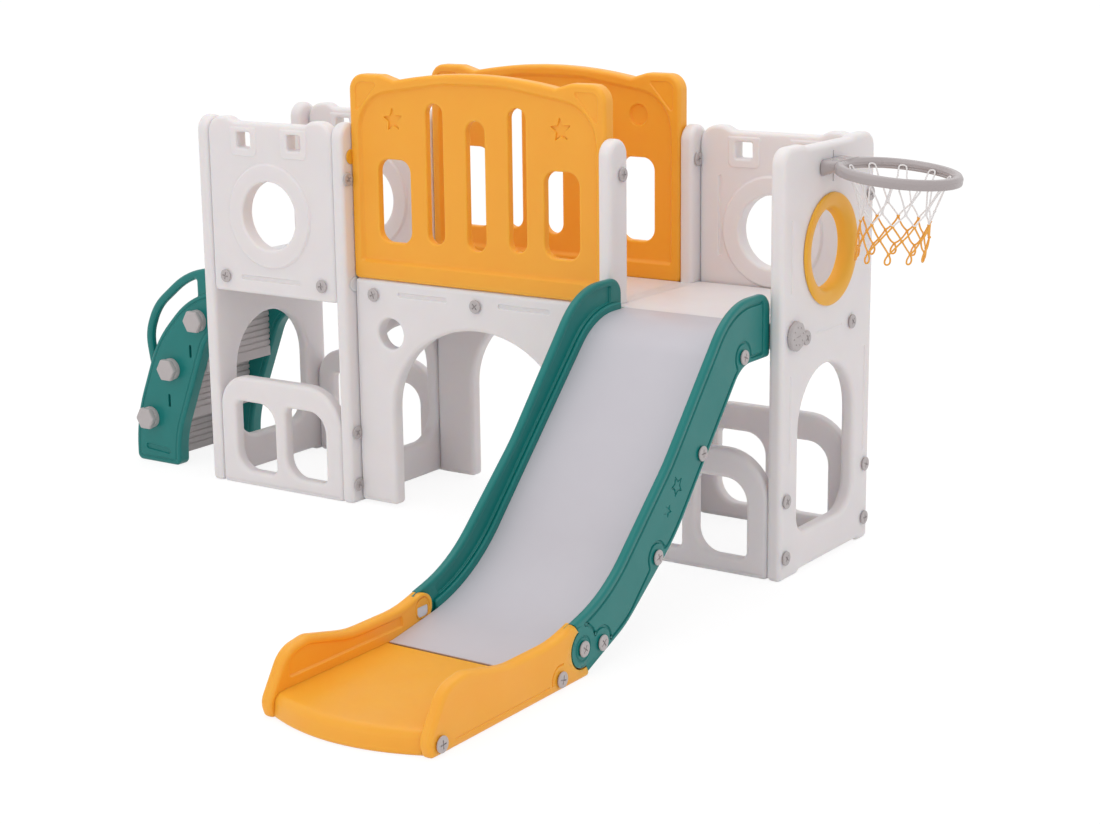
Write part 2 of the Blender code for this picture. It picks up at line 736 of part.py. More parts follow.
def exit_floor(width):
    """Flat end of the slide, with a toe that bows forward to the ground."""
    top = split_path(path(bed_path(0.0), math.radians(7)), BED_END - FIT)[1]
    under = split_path(path(bed_path(0.020), math.radians(7)), BED_END - FIT)[1]
    toe = [Vector((TOE_Y - 0.028, EXIT_TOP - 0.006)), Vector((TOE_Y - 0.040, EXIT_TOP - 0.024)),
           Vector((TOE_Y - 0.040, 0.004)), Vector((TOE_Y - 0.034, 0.0)), Vector((TOE_Y - 0.016, 0.0))]
    outline = tidy(top + toe + list(reversed(under)))
    bm = bmesh.new()
    bmesh.ops.triangle_fill(bm, use_beauty=True, edges=ring_edges(bm, ring_verts(bm, outline, 0.0)))
    grown = bmesh.ops.extrude_face_region(bm, geom=list(bm.faces), use_keep_orig=True)
    raised = [item for item in grown["geom"] if isinstance(item, bmesh.types.BMVert)]
    bmesh.ops.translate(bm, vec=(0, 0, width), verts=raised)
    slices = 8
    for number in range(1, slices):
        everything = list(bm.verts) + list(bm.edges) + list(bm.faces)
        bmesh.ops.bisect_plane(bm, geom=everything, plane_co=(0, 0, width * number / slices),
                               plane_no=(0, 0, 1))
    start = EXIT_AT.x - 0.20
    for vert in bm.verts:
        if vert.co.x < start:
            across = 2 * vert.co.z / width - 1
            share = min(1.0, (start - vert.co.x) / (start - TOE_Y))
            vert.co.x -= EXIT_BOW * share * (1 - across * across)
    bmesh.ops.recalc_face_normals(bm, faces=list(bm.faces))
    return bm


def wall_top():
    """Rim of the slide's green walls, from the deck down to the joint."""
    head = HEAD_AT
    bend = BEND_AT
    return [(SLIDE_BACK, head.y + 0.089, 0.045), (head.x - 0.044, head.y + 0.089, 0.220),
            (bend.x + 0.208, bend.y + 0.311, 0.600), (bend.x - 0.062, bend.y + 0.066, 0.400),
            (EXIT_AT.x + 0.045, EXIT_AT.y + 0.064, 0.300)]


def wall_under():
    """Low edge of the green walls, from the ground up to the deck."""
    head = HEAD_AT
    bend = BEND_AT
    return [(EXIT_AT.x + 0.150, 0.0, 0.030), (bend.x + 0.018, bend.y - 0.034, 0.300),
            (bend.x + 0.238, bend.y + 0.121, 0.500), (head.x + 0.001, head.y - 0.083, 0.100),
            (SLIDE_BACK, head.y - 0.083, 0.012)]


def toe_rim():
    """Rim of the orange walls, from the joint to the toe."""
    at = EXIT_AT
    toe = at.x - EXIT_RUN
    return [(at.x + RIM_LAP, at.y + EXIT_RIM, 0.300), (at.x - RIM_RISE_AT, at.y + EXIT_RIM, 0.300),
            (toe + TOE_RISE_RUN, at.y + TOE_RIM, 0.060), (toe, at.y + TOE_RIM - TOE_DROP, 0.060),
            (toe - TOE_NOSE, TOE_NOSE_Z, 0.030), (toe - TOE_FOOT, 0.0, 0.012)]


def rim_height(at):
    """Height of the walls' rim over the plane y = at."""
    line = path([(SLIDE_BACK, HEAD_AT.y + 0.089, 0.0)] + wall_top()[1:] + toe_rim()[1:3], math.radians(7))
    near = split_path(line, at)[0]
    return near[-1].y


def disc_arc(radius, at, count):
    """Arc of the knuckle's disc past the plane y = at, from its top to its foot."""
    reach = math.acos(max(-1.0, min(1.0, (KNUCKLE.x - at) / radius)))
    points = []
    for index in range(count + 1):
        angle = math.pi - reach + 2 * reach * index / count
        points.append(Vector((KNUCKLE.x + radius * math.cos(angle), KNUCKLE.y + radius * math.sin(angle))))
    return points


def green_outline():
    top = path([(SLIDE_BACK, DECK_TOP, 0.0)] + wall_top() + [(JOINT_Y - 0.2, EXIT_AT.y + 0.064, 0.0)],
               math.radians(12))
    top = split_path(top, JOINT_Y)[0]
    under = rounded([(JOINT_Y, 0.0, 0.0)] + wall_under() + [(SLIDE_BACK, DECK_TOP, 0.0),
                                                            (JOINT_Y, DECK_TOP, 0.0)], math.radians(12))
    under = [point for point in under if point.y < DECK_TOP - 0.02 and point.x > JOINT_Y + 0.001]
    return tidy(top + disc_arc(KNUCKLE_R, JOINT_Y, 5) + [Vector((JOINT_Y, 0.0))] + under)


def orange_outline():
    """Toe wall with the tab that runs behind the green disc."""
    tab = KNUCKLE_R - 0.002
    rim = rim_height(JOINT_Y - FIT)
    edge = JOINT_Y - FIT
    corners = [Vector((edge, rim))]
    line = path([(edge + 0.1, rim + 0.02, 0.0)] + toe_rim() + [(EXIT_AT.x, 0.0, 0.0)], math.radians(20))
    corners += [point for point in line if point.x < edge - 0.002]
    corners += [Vector((edge, 0.0)), Vector((edge, KNUCKLE.y - tab))]
    for index in range(7):
        angle = math.pi * (index / 6 - 0.5)
        corners.append(Vector((KNUCKLE.x + tab * math.cos(angle), KNUCKLE.y + tab * math.sin(angle))))
    corners.append(Vector((edge, KNUCKLE.y + tab)))
    return tidy(corners)


def tab_room():
    """Recess in the green wall for the orange tab."""
    room = KNUCKLE_R - 0.002 + TAB_CLEAR
    points = [Vector((JOINT_Y - 0.05, KNUCKLE.y - room))]
    for index in range(7):
        angle = math.pi * (index / 6 - 0.5)
        points.append(Vector((KNUCKLE.x + room * math.cos(angle), KNUCKLE.y + room * math.sin(angle))))
    points.append(Vector((JOINT_Y - 0.05, KNUCKLE.y + room)))
    return points


def disc_room():
    """Recess in the orange wall for the green disc."""
    room = KNUCKLE_R + TAB_CLEAR
    edge = JOINT_Y - FIT
    right = KNUCKLE.x + 2 * KNUCKLE_R
    high = KNUCKLE.y + KNUCKLE_R * 1.2
    low = KNUCKLE.y - KNUCKLE_R * 1.2
    return [Vector((right, high)), Vector((edge, high))] + disc_arc(room, edge, 8) + [
        Vector((edge, low)), Vector((right, low))]


def slide(origin, green, orange, pale):
    wall_left = RIGHT_INNER + SLIDE_WALL_GAP
    wall_right = END_INNER - SLIDE_WALL_GAP - SLIDE_WALL_T
    bed_left = wall_left + SLIDE_WALL_T + FIT
    width = wall_right - FIT - bed_left
    bm = plate(bed_outline(), [], width, 0.0015)
    place("slide_bed", bm, pale, origin, (bed_left, 0.0, 0.0), FACING_X)
    place("exit_floor", exit_floor(width), orange, origin, (bed_left, 0.0, 0.0), FACING_X)
    half = SLIDE_WALL_T / 2
    for side, x, outer in (("left", wall_left, 0), ("right", wall_right, 1)):
        inner_at = x + (half if outer == 0 else -half)
        outer_at = x + (-half if outer == 0 else half)
        bm = plate(green_outline(), [], SLIDE_WALL_T, 0.006)
        wall = place("slide_side_" + side, bm, green, origin, (x, 0.0, 0.0), FACING_X)
        guide = plate(tab_room(), [], SLIDE_WALL_T + 0.004, 0.0004)
        step = 0.0 if outer == 0 else -0.004
        cutter(wall, guide, (inner_at + step, 0.0, 0.0), FACING_X, 1)
        bm = plate(orange_outline(), [], SLIDE_WALL_T, 0.006)
        toe = place("exit_side_" + side, bm, orange, origin, (x, 0.0, 0.0), FACING_X)
        guide = plate(disc_room(), [], SLIDE_WALL_T + FIT, 0.0004)
        step = 0.0 if outer == 0 else -FIT
        cutter(toe, guide, (outer_at + step, 0.0, 0.0), FACING_X, 1)
    return wall_left, wall_right + SLIDE_WALL_T


def nut_places():
    """Axes of the three treads' nuts, from the top down."""
    top = Vector((-LADDER_REACH * 0.235, STRINGER_UNDER_Z))
    low = Vector((-LADDER_REACH * 0.816, 0.143))
    return [top, top.lerp(low, 0.55) + Vector((0.0, 0.017)), low]


def stringer_outline():
    """Ladder side: a band that curves from the ground up to the wall."""
    reach = LADDER_REACH
    wall = -FIT
    return rounded([
        (-reach, 0.0, 0.020), (-reach + LADDER_FOOT, 0.0, 0.020),
        (-reach * 0.507, 0.095, 0.300), (-reach * 0.176, STRINGER_UNDER_Z - 0.065, 0.120),
        (wall, STRINGER_UNDER_Z, 0.0), (wall, STRINGER_TOP_Z, 0.0),
        (-reach * STRINGER_CREST_AT, STRINGER_TOP_Z - STRINGER_CREST_DROP, 0.300),
        (-reach * 0.715, STRINGER_TOP_Z - 0.184, 0.400),
        (-reach, 0.130, 0.500)], math.radians(9))


def handrail_line():
    """Middle of the handrail, from the wall round and down into the band."""
    reach = LADDER_REACH
    return path([(-FIT, HANDRAIL_Z, 0.0), (-reach * 0.373, HANDRAIL_Z - 0.026, 0.200),
                 (-reach * 0.733, HANDRAIL_Z - 0.133, 0.120), (-reach * 0.835, HANDRAIL_Z - 0.223, 0.080),
                 (-reach * 0.800, STRINGER_TOP_Z - 0.252, 0.060),
                 (-reach * 0.747, STRINGER_TOP_Z - 0.315, 0.0)], math.radians(10))


def beside(line, distance):
    """The open line moved to its left by distance."""
    moved = []
    for index, point in enumerate(line):
        before = line[max(0, index - 1)]
        after = line[min(len(line) - 1, index + 1)]
        along = (after - before).normalized()
        moved.append(point + Vector((-along.y, along.x)) * distance)
    return moved


def handrail_outline():
    """Tube of the handrail with the web that joins it to the band at the wall."""
    line = handrail_line()
    outer = beside(line, -HANDRAIL_R)
    inner = beside(line, HANDRAIL_R)
    outer[0].x = -FIT
    past = split_path(inner, -GRAB_END)[1]
    shoulder = STRINGER_TOP_Z - STRINGER_CREST_DROP * GRAB_END / (LADDER_REACH * STRINGER_CREST_AT)
    run = GRAB_END * 0.41
    bend = [(past[1].x, past[1].y, 0.0), (past[0].x, past[0].y, GRAB_R),
            (-GRAB_END, shoulder, GRAB_R), (-GRAB_END - run, shoulder - run * 0.85, 0.0)]
    corner = path(bend, math.radians(24))
    rest = [point for point in reversed(past[2:])]
    web_low = (STRINGER_TOP_Z + STRINGER_UNDER_Z) / 2
    return tidy(outer + rest + corner + [Vector((-FIT, web_low))])


def tread_outline(rear):
    """Tread in section: a board to step on and its ribbed riser."""
    front = rear - TREAD_DEPTH
    top = TREAD_ABOVE
    low = -TREAD_DROP
    points = [Vector((front + 0.006, top)), Vector((front, top - 0.008)), Vector((front, top - 0.020)),
              Vector((front + 0.008, top - 0.028)), Vector((rear - TREAD_T, top - 0.028)),
              Vector((rear - TREAD_T, low))]
    points.append(Vector((rear, low)))
    count = int((top - low - 0.05) / TREAD_PITCH) - 1
    for index in range(count):
        at = low + 0.030 + index * TREAD_PITCH
        points += [Vector((rear, at)), Vector((rear - TREAD_GROOVE, at + 0.002)),
                   Vector((rear - TREAD_GROOVE, at + 0.005)), Vector((rear, at + 0.007))]
    points += [Vector((rear, top - 0.008)), Vector((rear - 0.006, top))]
    return points


def hex_nut():
    mid = math.cos(math.pi / 6)
    collar = [NUT_COLLAR_R] * 12
    flats = [NUT_R * (1.0 if index % 2 == 0 else mid) for index in range(12)]
    crown = [radius - 0.005 for radius in flats]
    return stacked([(collar, 0.0), (collar, 0.006), (flats, 0.0085),
                    (flats, NUT_PROUD - 0.005), (crown, NUT_PROUD)])


def ladder(origin, green, grey):
    front = LADDER_INSET
    rear = DEPTH - LADDER_INSET
    for side, y in (("front", front + LADDER_T), ("rear", rear)):
        bm = plate(stringer_outline(), [], LADDER_T, 0.007)
        made = place("ladder_side_" + side, bm, green, origin, (0.0, y, 0.0), FACING_FRONT)
        bm = plate(handrail_outline(), [], HANDRAIL_R * 2, HANDRAIL_R * 0.6)
        merged(made, bm, (0.0, y - LADDER_T / 2 + HANDRAIL_R, 0.0), FACING_FRONT, 1)
    width = rear - front - 2 * LADDER_T - 2 * FIT
    for number, (name, nut) in enumerate(zip(("high", "middle", "low"), nut_places())):
        outline = tread_outline(TOP_TREAD_BEHIND if number == 0 else TREAD_BEHIND)
        lift = 0.0
        lowest = nut.y - TREAD_DROP
        if lowest < 0.002:
            lift = 0.002 - lowest
        outline = [Vector((point.x, point.y + lift if point.y < -TREAD_DROP + 0.001 else point.y))
                   for point in outline]
        outline = [point for point in outline
                   if point.y > -TREAD_DROP + lift - 0.0005]
        bm = plate(tidy(outline), [], width, 0.0012)
        place("tread_" + name, bm, grey, origin, (nut.x, rear - LADDER_T - FIT, nut.y), FACING_FRONT)
        place("nut_front_" + name, hex_nut(), grey, origin, (nut.x, front - FIT, nut.y),
              (math.radians(90), 0.0, 0.0))
        place("nut_rear_" + name, hex_nut(), grey, origin, (nut.x, rear + FIT, nut.y),
              (math.radians(-90), 0.0, 0.0))


def hoop_body(origin, grey):
    """Ring and bracket in one piece, with the plug that enters the end panel."""
    section = []
    for index in range(8):
        angle = 2 * math.pi * (index + 0.5) / 8
        section.append((HOOP_R + HOOP_W / 2 * math.cos(angle) / math.cos(math.pi / 8),
                        HOOP_H / 2 * math.sin(angle) / math.cos(math.pi / 8)))
    bm = turned(section, 32)
    ring = place("hoop", bm, grey, origin, (HOOP_X, MID_Y, HOOP_Z), (0.0, HOOP_DROOP, 0.0), smooth=40)
    length = HOOP_REACH - HOOP_R * math.cos(HOOP_DROOP) + HOOP_W * 0.2
    bm = bmesh.new()
    bmesh.ops.create_cube(bm, size=1.0)
    bmesh.ops.scale(bm, vec=(length, BRACKET_W, BRACKET_H), verts=list(bm.verts))
    far = [vert for vert in bm.verts if vert.co.x > 0]
    bmesh.ops.scale(bm, vec=(1.0, 0.9, HOOP_H * 0.8 / BRACKET_H), verts=far)
    rise = HOOP_Z + HOOP_R * math.sin(HOOP_DROOP) - HOOK_Z
    bmesh.ops.translate(bm, vec=(0, 0, rise), verts=far)
    bmesh.ops.translate(bm, vec=(length / 2 + FIT, 0, 0), verts=list(bm.verts))
    bmesh.ops.bevel(bm, geom=list(bm.edges), offset=0.004, segments=1, affect="EDGES", profile=0.5)
    merged(ring, bm, (END_FACE, MID_Y, HOOK_Z), UPRIGHT, 1)
    bm = bmesh.new()
    bmesh.ops.create_cube(bm, size=1.0)
    bmesh.ops.scale(bm, vec=(PLUG_LENGTH + 0.010, PLUG_W, PLUG_W), verts=list(bm.verts))
    bmesh.ops.translate(bm, vec=(0.005 - PLUG_LENGTH / 2 + 0.000, 0, 0), verts=list(bm.verts))
    bmesh.ops.bevel(bm, geom=list(bm.edges), offset=0.002, segments=1, affect="EDGES", profile=0.5)
    merged(ring, bm, (END_FACE, MID_Y, HOOK_Z), UPRIGHT, 2)
    return ring


def net_point(column, row):
    """Knot of the net, at half columns and rows from the ring down."""
    down = row / NET_ROWS
    angle = 2 * math.pi * column / NET_LOOPS
    top = HOOP_R - 0.004
    radius = NET_FOOT_R + (top - NET_FOOT_R) * (1 - down) ** 2
    start = -HOOP_H / 2 - NET_CORD * 0.25 - FIT
    droop = radius * math.cos(angle) * math.tan(HOOP_DROOP) * (1 - down)
    return Vector((radius * math.cos(angle) - NET_SKEW * down * down, radius * math.sin(angle),
                   start - NET_DROP * down - droop))


def hoop_net(origin, cord):
    """Net of knotted cord, white above and orange below, hung from the ring."""
    bm = bmesh.new()
    knots = {}
    for row in range(NET_ROWS + 1):
        for number in range(NET_LOOPS):
            column = number + 0.5 * (row % 2)
            knots[(row, number)] = bm.verts.new(net_point(column, row))
    for row in range(1, NET_ROWS):
        shift = row % 2
        for number in range(NET_LOOPS):
            left = (number - shift) % NET_LOOPS
            right = (number + 1 - shift) % NET_LOOPS
            bm.faces.new((knots[(row - 1, number)], knots[(row, left)],
                          knots[(row + 1, number)], knots[(row, right)]))
    for vert in list(bm.verts):
        if not vert.link_faces:
            bm.verts.remove(vert)
    bmesh.ops.recalc_face_normals(bm, faces=list(bm.faces))
    meshes = list(bm.faces)
    bmesh.ops.inset_individual(bm, faces=meshes, thickness=NET_CORD / 2, use_even_offset=True)
    bmesh.ops.delete(bm, geom=meshes, context="FACES_ONLY")
    net = place("net", bm, cord, origin, (HOOP_X, MID_Y, HOOP_Z))
    wall = net.modifiers.new("cord thickness", "SOLIDIFY")
    wall.thickness = NET_CORD
    wall.offset = 0.0
    return net


def ring_piece(origin, orange):
    """Flanged ring lining the round window of the end panel."""
    profile = [(RING_INNER, -PANEL_T), (RING_SLEEVE, -PANEL_T), (RING_SLEEVE, FIT),
               (RING_OUTER, FIT), (RING_OUTER, RING_PROUD * 0.5), (RING_OUTER - 0.004, RING_PROUD),
               (RING_INNER + 0.006, RING_PROUD), (RING_INNER, RING_PROUD - 0.005)]
    bm = turned(profile, 22)
    place("window_ring", bm, orange, origin, (END_FACE, MID_Y, RING_Z), (0.0, math.radians(90), 0.0),
          smooth=35)


def knob(origin, grey):
    bm = stacked([([KNOB_R] * 16, FIT), ([KNOB_R] * 16, KNOB_PROUD * 0.6),
                  ([KNOB_R - 0.006] * 16, KNOB_PROUD)])
    place("knob", bm, grey, origin, (END_FACE, KNOB_Y, KNOB_Z), (0.0, math.radians(90), 0.0))


def bolt_cap():
    return stacked([([BOLT_R] * 10, FIT), ([BOLT_R] * 10, BOLT_PROUD * 0.5),
                    ([BOLT_R * 0.72] * 10, BOLT_PROUD)])


def slide_bolts():
    """Bolt places on the slide's outer walls."""
    slope = (HEAD_AT - BEND_AT).normalized()
    across = Vector((slope.y, -slope.x))
    return [HEAD_AT + Vector((0.005, -0.061)), BEND_AT + slope * 0.466 + across * 0.042,
            BEND_AT + slope * 0.176 + across * 0.041, BEND_AT + Vector((-0.087, -0.042)), KNUCKLE,
            EXIT_AT + Vector((0.063, -0.028)), EXIT_AT + Vector((-EXIT_RUN - 0.014, -0.029))]


def bolts(origin, grey, wall_face):
    face_x = (0.0, math.radians(90), 0.0)
    face_front = (math.radians(90), 0.0, 0.0)
    deck_z = DECK_TOP - DECK_BOLT_DROP
    end = [(BOLT_EDGE, BOLT_MID), (BOLT_EDGE, BOLT_LOW), (DEPTH - BOLT_EDGE, BOLT_MID),
           (DEPTH - BOLT_EDGE, BOLT_LOW), (DEPTH - BOLT_EDGE, BOLT_HIGH),
           (DECK_BOLT_Y, deck_z), (DEPTH - DECK_BOLT_Y, deck_z)]
    for number, (y, z) in enumerate(end):
        place("bolt_end_" + str(number + 1), bolt_cap(), grey, origin, (END_FACE, y, z), face_x)
    for number, at in enumerate(slide_bolts()):
        place("bolt_slide_" + str(number + 1), bolt_cap(), grey, origin, (wall_face, at.x, at.y), face_x)
    for number, shift in enumerate((-1, 0, 1)):
        place("bolt_arch_" + str(number + 1), bolt_cap(), grey, origin,
              (BRIDGE_MID + shift * (BRIDGE_GAP / 2 - 0.069), BRIDGE_INSET, deck_z), face_front)
    for number, shift in enumerate((-1, 1)):
        place("bolt_tower_" + str(number + 1), bolt_cap(), grey, origin,
              (LEFT_INNER + TOWER_GAP / 2 + shift * (TOWER_GAP / 2 - 0.050), CROSS_INSET,
               deck_z + 0.015), face_front)


def main():
    clear_scene()
    origin = bpy.data.objects.new("playset_origin", None)
    bpy.context.collection.objects.link(origin)
    origin.location = (-CENTRE_X, -CENTRE_Y, 0.0)
    white = material("white moulding", 226, 222, 222, 0.45)
    orange = material("orange moulding", 244, 170, 52, 0.42)
    green = material("green moulding", 36, 128, 120, 0.42)
    pale = material("pale grey slide", 200, 198, 205, 0.35)
    grey = material("grey moulding", 186, 182, 182, 0.45)
    cord = material("net cord", 236, 200, 150, 0.80)
    tall_panels(origin, white)
    cross_panels(origin, white)
    bridge(origin, white, orange)
    decks(origin, white)
    wall_face = slide(origin, green, orange, pale)[1]
    ladder(origin, green, grey)
    hoop_body(origin, grey)
    hoop_net(origin, cord)
    ring_piece(origin, orange)
    knob(origin, grey)
    bolts(origin, grey, wall_face)


main()
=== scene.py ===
import math

import bmesh
import bpy
from mathutils import Matrix, Vector


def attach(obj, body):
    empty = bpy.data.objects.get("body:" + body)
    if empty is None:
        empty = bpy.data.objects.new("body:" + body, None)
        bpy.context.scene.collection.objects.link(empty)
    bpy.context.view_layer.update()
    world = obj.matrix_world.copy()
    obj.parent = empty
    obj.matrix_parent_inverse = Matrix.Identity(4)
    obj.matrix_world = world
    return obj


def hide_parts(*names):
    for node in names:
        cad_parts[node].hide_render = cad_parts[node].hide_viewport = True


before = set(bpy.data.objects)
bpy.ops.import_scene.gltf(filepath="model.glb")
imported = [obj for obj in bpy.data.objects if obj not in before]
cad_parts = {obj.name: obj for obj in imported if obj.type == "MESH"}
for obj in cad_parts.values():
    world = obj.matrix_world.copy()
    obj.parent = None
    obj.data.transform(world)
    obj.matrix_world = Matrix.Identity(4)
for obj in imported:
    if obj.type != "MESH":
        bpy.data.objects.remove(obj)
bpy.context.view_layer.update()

# Sizes of the set, in metres
POST_TOP = 1.100
DEPTH = 0.500
PANEL_T = 0.040
TOWER_GAP = 0.465
BRIDGE_GAP = 0.850
DECK_TOP = 0.668
DECK_T = 0.066
POST_W = 0.088
TALL_RIM = 0.013
SILL_T = 0.0056
CLEARANCE = 0.0003
DECK_EDGE_GAP = 0.0063
RAIL_SEAT = 0.006
CROSS_INSET = 0.004
CROSS_T = 0.042
BRIDGE_INSET = 0.040
BRIDGE_T = 0.045
RAIL_H = 0.585
SLIDE_BACK = 0.017
EXIT_RUN = 0.365
EXIT_BOW = 0.045
SLIDE_WALL_T = 0.031
BEAD_T = 0.010
BED_T = 0.028
WALL_GAP = 0.003
WALL_RISE = 0.080
WALL_DROP = 0.083
RIM_RISE = 0.064
LADDER_INSET = 0.060
LADDER_T = 0.045
LADDER_REACH = 0.375
BAND_TOP = 0.577
BAND_BEND = 0.525
HANDRAIL_T = 0.026
HOOP_REACH = 0.186
HOOP_R = 0.146
HOOP_TUBE = 0.013
HOOP_Z = 1.031
HOOP_DROOP = math.radians(6)
HOOK_Z = 1.039
NET_COLUMNS = 10
NET_DEPTH = 0.220
NET_R = 0.088
NET_FLARE = 0.043
RING_Z = 0.827

LEFT_INNER = PANEL_T
LEFT_END = LEFT_INNER + TOWER_GAP + PANEL_T
RIGHT_START = LEFT_END + BRIDGE_GAP
RIGHT_INNER = RIGHT_START + PANEL_T
END_INNER = RIGHT_INNER + TOWER_GAP
END_FACE = END_INNER + PANEL_T
WALL_FACE = END_INNER - WALL_GAP
BRIDGE_MID = LEFT_END + BRIDGE_GAP / 2
MID_Y = DEPTH / 2
HOOP_X = END_FACE + HOOP_REACH

# The slide's path in side view: deck, slope, run-out and floor
SLOPE = math.radians(45.5)
RUNOUT = math.radians(9.1)
HEAD_Y = -0.125
BEND_Z = 0.1057
EXIT_Z = 0.055
HEAD_AT = Vector((HEAD_Y, DECK_TOP))
BEND_AT = Vector((HEAD_Y - (DECK_TOP - BEND_Z) / math.tan(SLOPE), BEND_Z))
EXIT_AT = Vector((BEND_AT.x - (BEND_Z - EXIT_Z) / math.tan(RUNOUT), EXIT_Z))
TOE_Y = EXIT_AT.x - EXIT_RUN
KNUCKLE = EXIT_AT + Vector((0.152, 0.017))
JOINT_Y = KNUCKLE.x - 0.026
TAB = Vector((JOINT_Y - 0.004, 0.099))
BED_END = EXIT_AT.x - 0.006
TOE_LIP = 0.040
STAR_AT = Vector((-0.4350, 0.3540))

# The middle of the set's box, which is the frame's origin
HOOP_TIP = ((HOOP_R + HOOP_TUBE) * math.cos(HOOP_DROOP)
            + HOOP_TUBE * math.tan(math.pi / 8) * math.sin(HOOP_DROOP))
CENTRE_X = (HOOP_X + HOOP_TIP - LADDER_REACH) / 2
CENTRE_Y = (TOE_Y - EXIT_BOW - TOE_LIP + DEPTH) / 2

# Steps round a corner, the angle past which an edge is sharp, and turns to face the hoop or the front
FINE = math.radians(8)
CREASE = math.radians(38)
UPRIGHT = math.radians(90)
FACING_HOOP = Matrix.Rotation(UPRIGHT, 3, "Y")
FACING_FRONT = Matrix.Rotation(UPRIGHT, 3, "X")
FACING_BACK = Matrix.Rotation(-UPRIGHT, 3, "X")


# Outlines

def fillet(before, here, after, radius, step):
    """Points of the arc that rounds one corner."""
    arriving = (before - here).normalized()
    leaving = (after - here).normalized()
    opening = math.acos(max(-1.0, min(1.0, arriving.dot(leaving))))
    turn = math.pi - opening
    if radius <= 0.0 or turn < 0.01:
        return [here]
    reach = radius * math.tan(turn / 2)
    room = min((before - here).length, (after - here).length) * 0.999
    if reach > room:
        reach = room
        radius = reach / math.tan(turn / 2)
    centre = here + (arriving + leaving).normalized() * (radius / math.sin(opening / 2))
    start = here + arriving * reach - centre
    end = here + leaving * reach - centre
    sweep = math.atan2(start.x * end.y - start.y * end.x, start.dot(end))
    pieces = max(2, math.ceil(abs(sweep) / step))
    return [centre + Matrix.Rotation(sweep * k / pieces, 2) @ start for k in range(pieces + 1)]


def tidy(points):
    """The outline without points that lie on each other."""
    kept = []
    for point in points:
        if not kept or (point - kept[-1]).length > 0.0005:
            kept.append(point)
    if (kept[0] - kept[-1]).length <= 0.0005:
        kept.pop()
    return kept


def rounded(corners, step=FINE):
    """Closed outline through (u, v, radius) corners."""
    outline = []
    for index, (u, v, radius) in enumerate(corners):
        before = Vector(corners[index - 1][:2])
        after = Vector(corners[(index + 1) % len(corners)][:2])
        outline += fillet(before, Vector((u, v)), after, radius, step)
    return tidy(outline)


def bent_line(corners, step=FINE):
    """Open line through (u, v, radius) corners."""
    line = [Vector(corners[0][:2])]
    for index in range(1, len(corners) - 1):
        u, v, radius = corners[index]
        line += fillet(Vector(corners[index - 1][:2]), Vector((u, v)), Vector(corners[index + 1][:2]),
                       radius, step)
    return tidy(line + [Vector(corners[-1][:2])])


def round_loop(u, v, radius, count=48):
    """A circle's outline."""
    return [Vector((u + radius * math.cos(2 * math.pi * k / count),
                    v + radius * math.sin(2 * math.pi * k / count))) for k in range(count)]


def box_loop(left, low, right, high, radius, step=FINE):
    """A rectangle with rounded corners."""
    return rounded([(left, low, radius), (right, low, radius), (right, high, radius),
                    (left, high, radius)], step)


def slot_loop(u, v, length, width, angle=0.0):
    """Stadium outline centred on (u, v)."""
    half = length / 2
    loop = box_loop(-half, -width / 2, half, width / 2, width * 0.499, math.radians(22))
    spun = Matrix.Rotation(angle, 2)
    return [spun @ point + Vector((u, v)) for point in loop]


def star_loop(u, v, radius, tilt, waist):
    """A five-pointed star's outline."""
    corners = []
    for k in range(10):
        reach = radius if k % 2 == 0 else radius * waist
        angle = math.pi / 2 + tilt + math.pi * k / 5
        corners.append((u + reach * math.cos(angle), v + reach * math.sin(angle), radius * 0.06))
    return rounded(corners, math.radians(40))


def shifted(points, distance):
    """The closed outline moved to its left by distance."""
    moved = []
    for index, point in enumerate(points):
        before = point - points[index - 1]
        after = points[(index + 1) % len(points)] - point
        left_before = Vector((-before.y, before.x)).normalized()
        left_after = Vector((-after.y, after.x)).normalized()
        share = max(0.35, 1.0 + left_before.dot(left_after))
        moved.append(point + (left_before + left_after) * (distance / share))
    return moved


def beside(line, distance):
    """The open line moved to its left by distance."""
    moved = []
    for index, point in enumerate(line):
        along = (line[min(len(line) - 1, index + 1)] - line[max(0, index - 1)]).normalized()
        moved.append(point + Vector((-along.y, along.x)) * distance)
    return moved


def softened(points, spacing, rounds):
    """The closed outline with even spacing and its corners eased."""
    lengths = [(point - points[index - 1]).length for index, point in enumerate(points)]
    count = max(12, round(sum(lengths) / spacing))
    step = sum(lengths) / count
    even = []
    travelled = 0.0
    for index, point in enumerate(points):
        before = points[index - 1]
        while len(even) < count and lengths[index] > 0 and len(even) * step < travelled + lengths[index]:
            even.append(before.lerp(point, (len(even) * step - travelled) / lengths[index]))
        travelled += lengths[index]
    for turn in range(rounds):
        even = [(even[k - 1] + even[k] * 2 + even[(k + 1) % len(even)]) / 4 for k in range(len(even))]
    return even


def counterclockwise(points):
    """The closed outline, turned to run counterclockwise."""
    area = sum(before.x * here.y - here.x * before.y
               for before, here in zip(points, points[1:] + points[:1]))
    return list(points) if area > 0 else list(reversed(points))


# Moulded plates

def contour(bm, points, height, place):
    """A closed contour whose vertices remember their place along it."""
    verts = [bm.verts.new((point.x, point.y, height)) for point in points]
    for index, vert in enumerate(verts):
        vert[place] = index
    return [bm.edges.new((verts[k - 1], verts[k])) for k in range(len(verts))]


def grown(bm, edges, points, inset, height, place):
    """Extrudes a contour to its next step, inset from the outline."""
    out = bmesh.ops.extrude_edge_only(bm, edges=edges)["geom"]
    moved = shifted(points, inset) if inset else points
    fresh = {item for item in out if isinstance(item, bmesh.types.BMVert)}
    for vert in fresh:
        target = moved[vert[place]]
        vert.co = (target.x, target.y, height)
    return [item for item in out if isinstance(item, bmesh.types.BMEdge)
            and item.verts[0] in fresh and item.verts[1] in fresh]


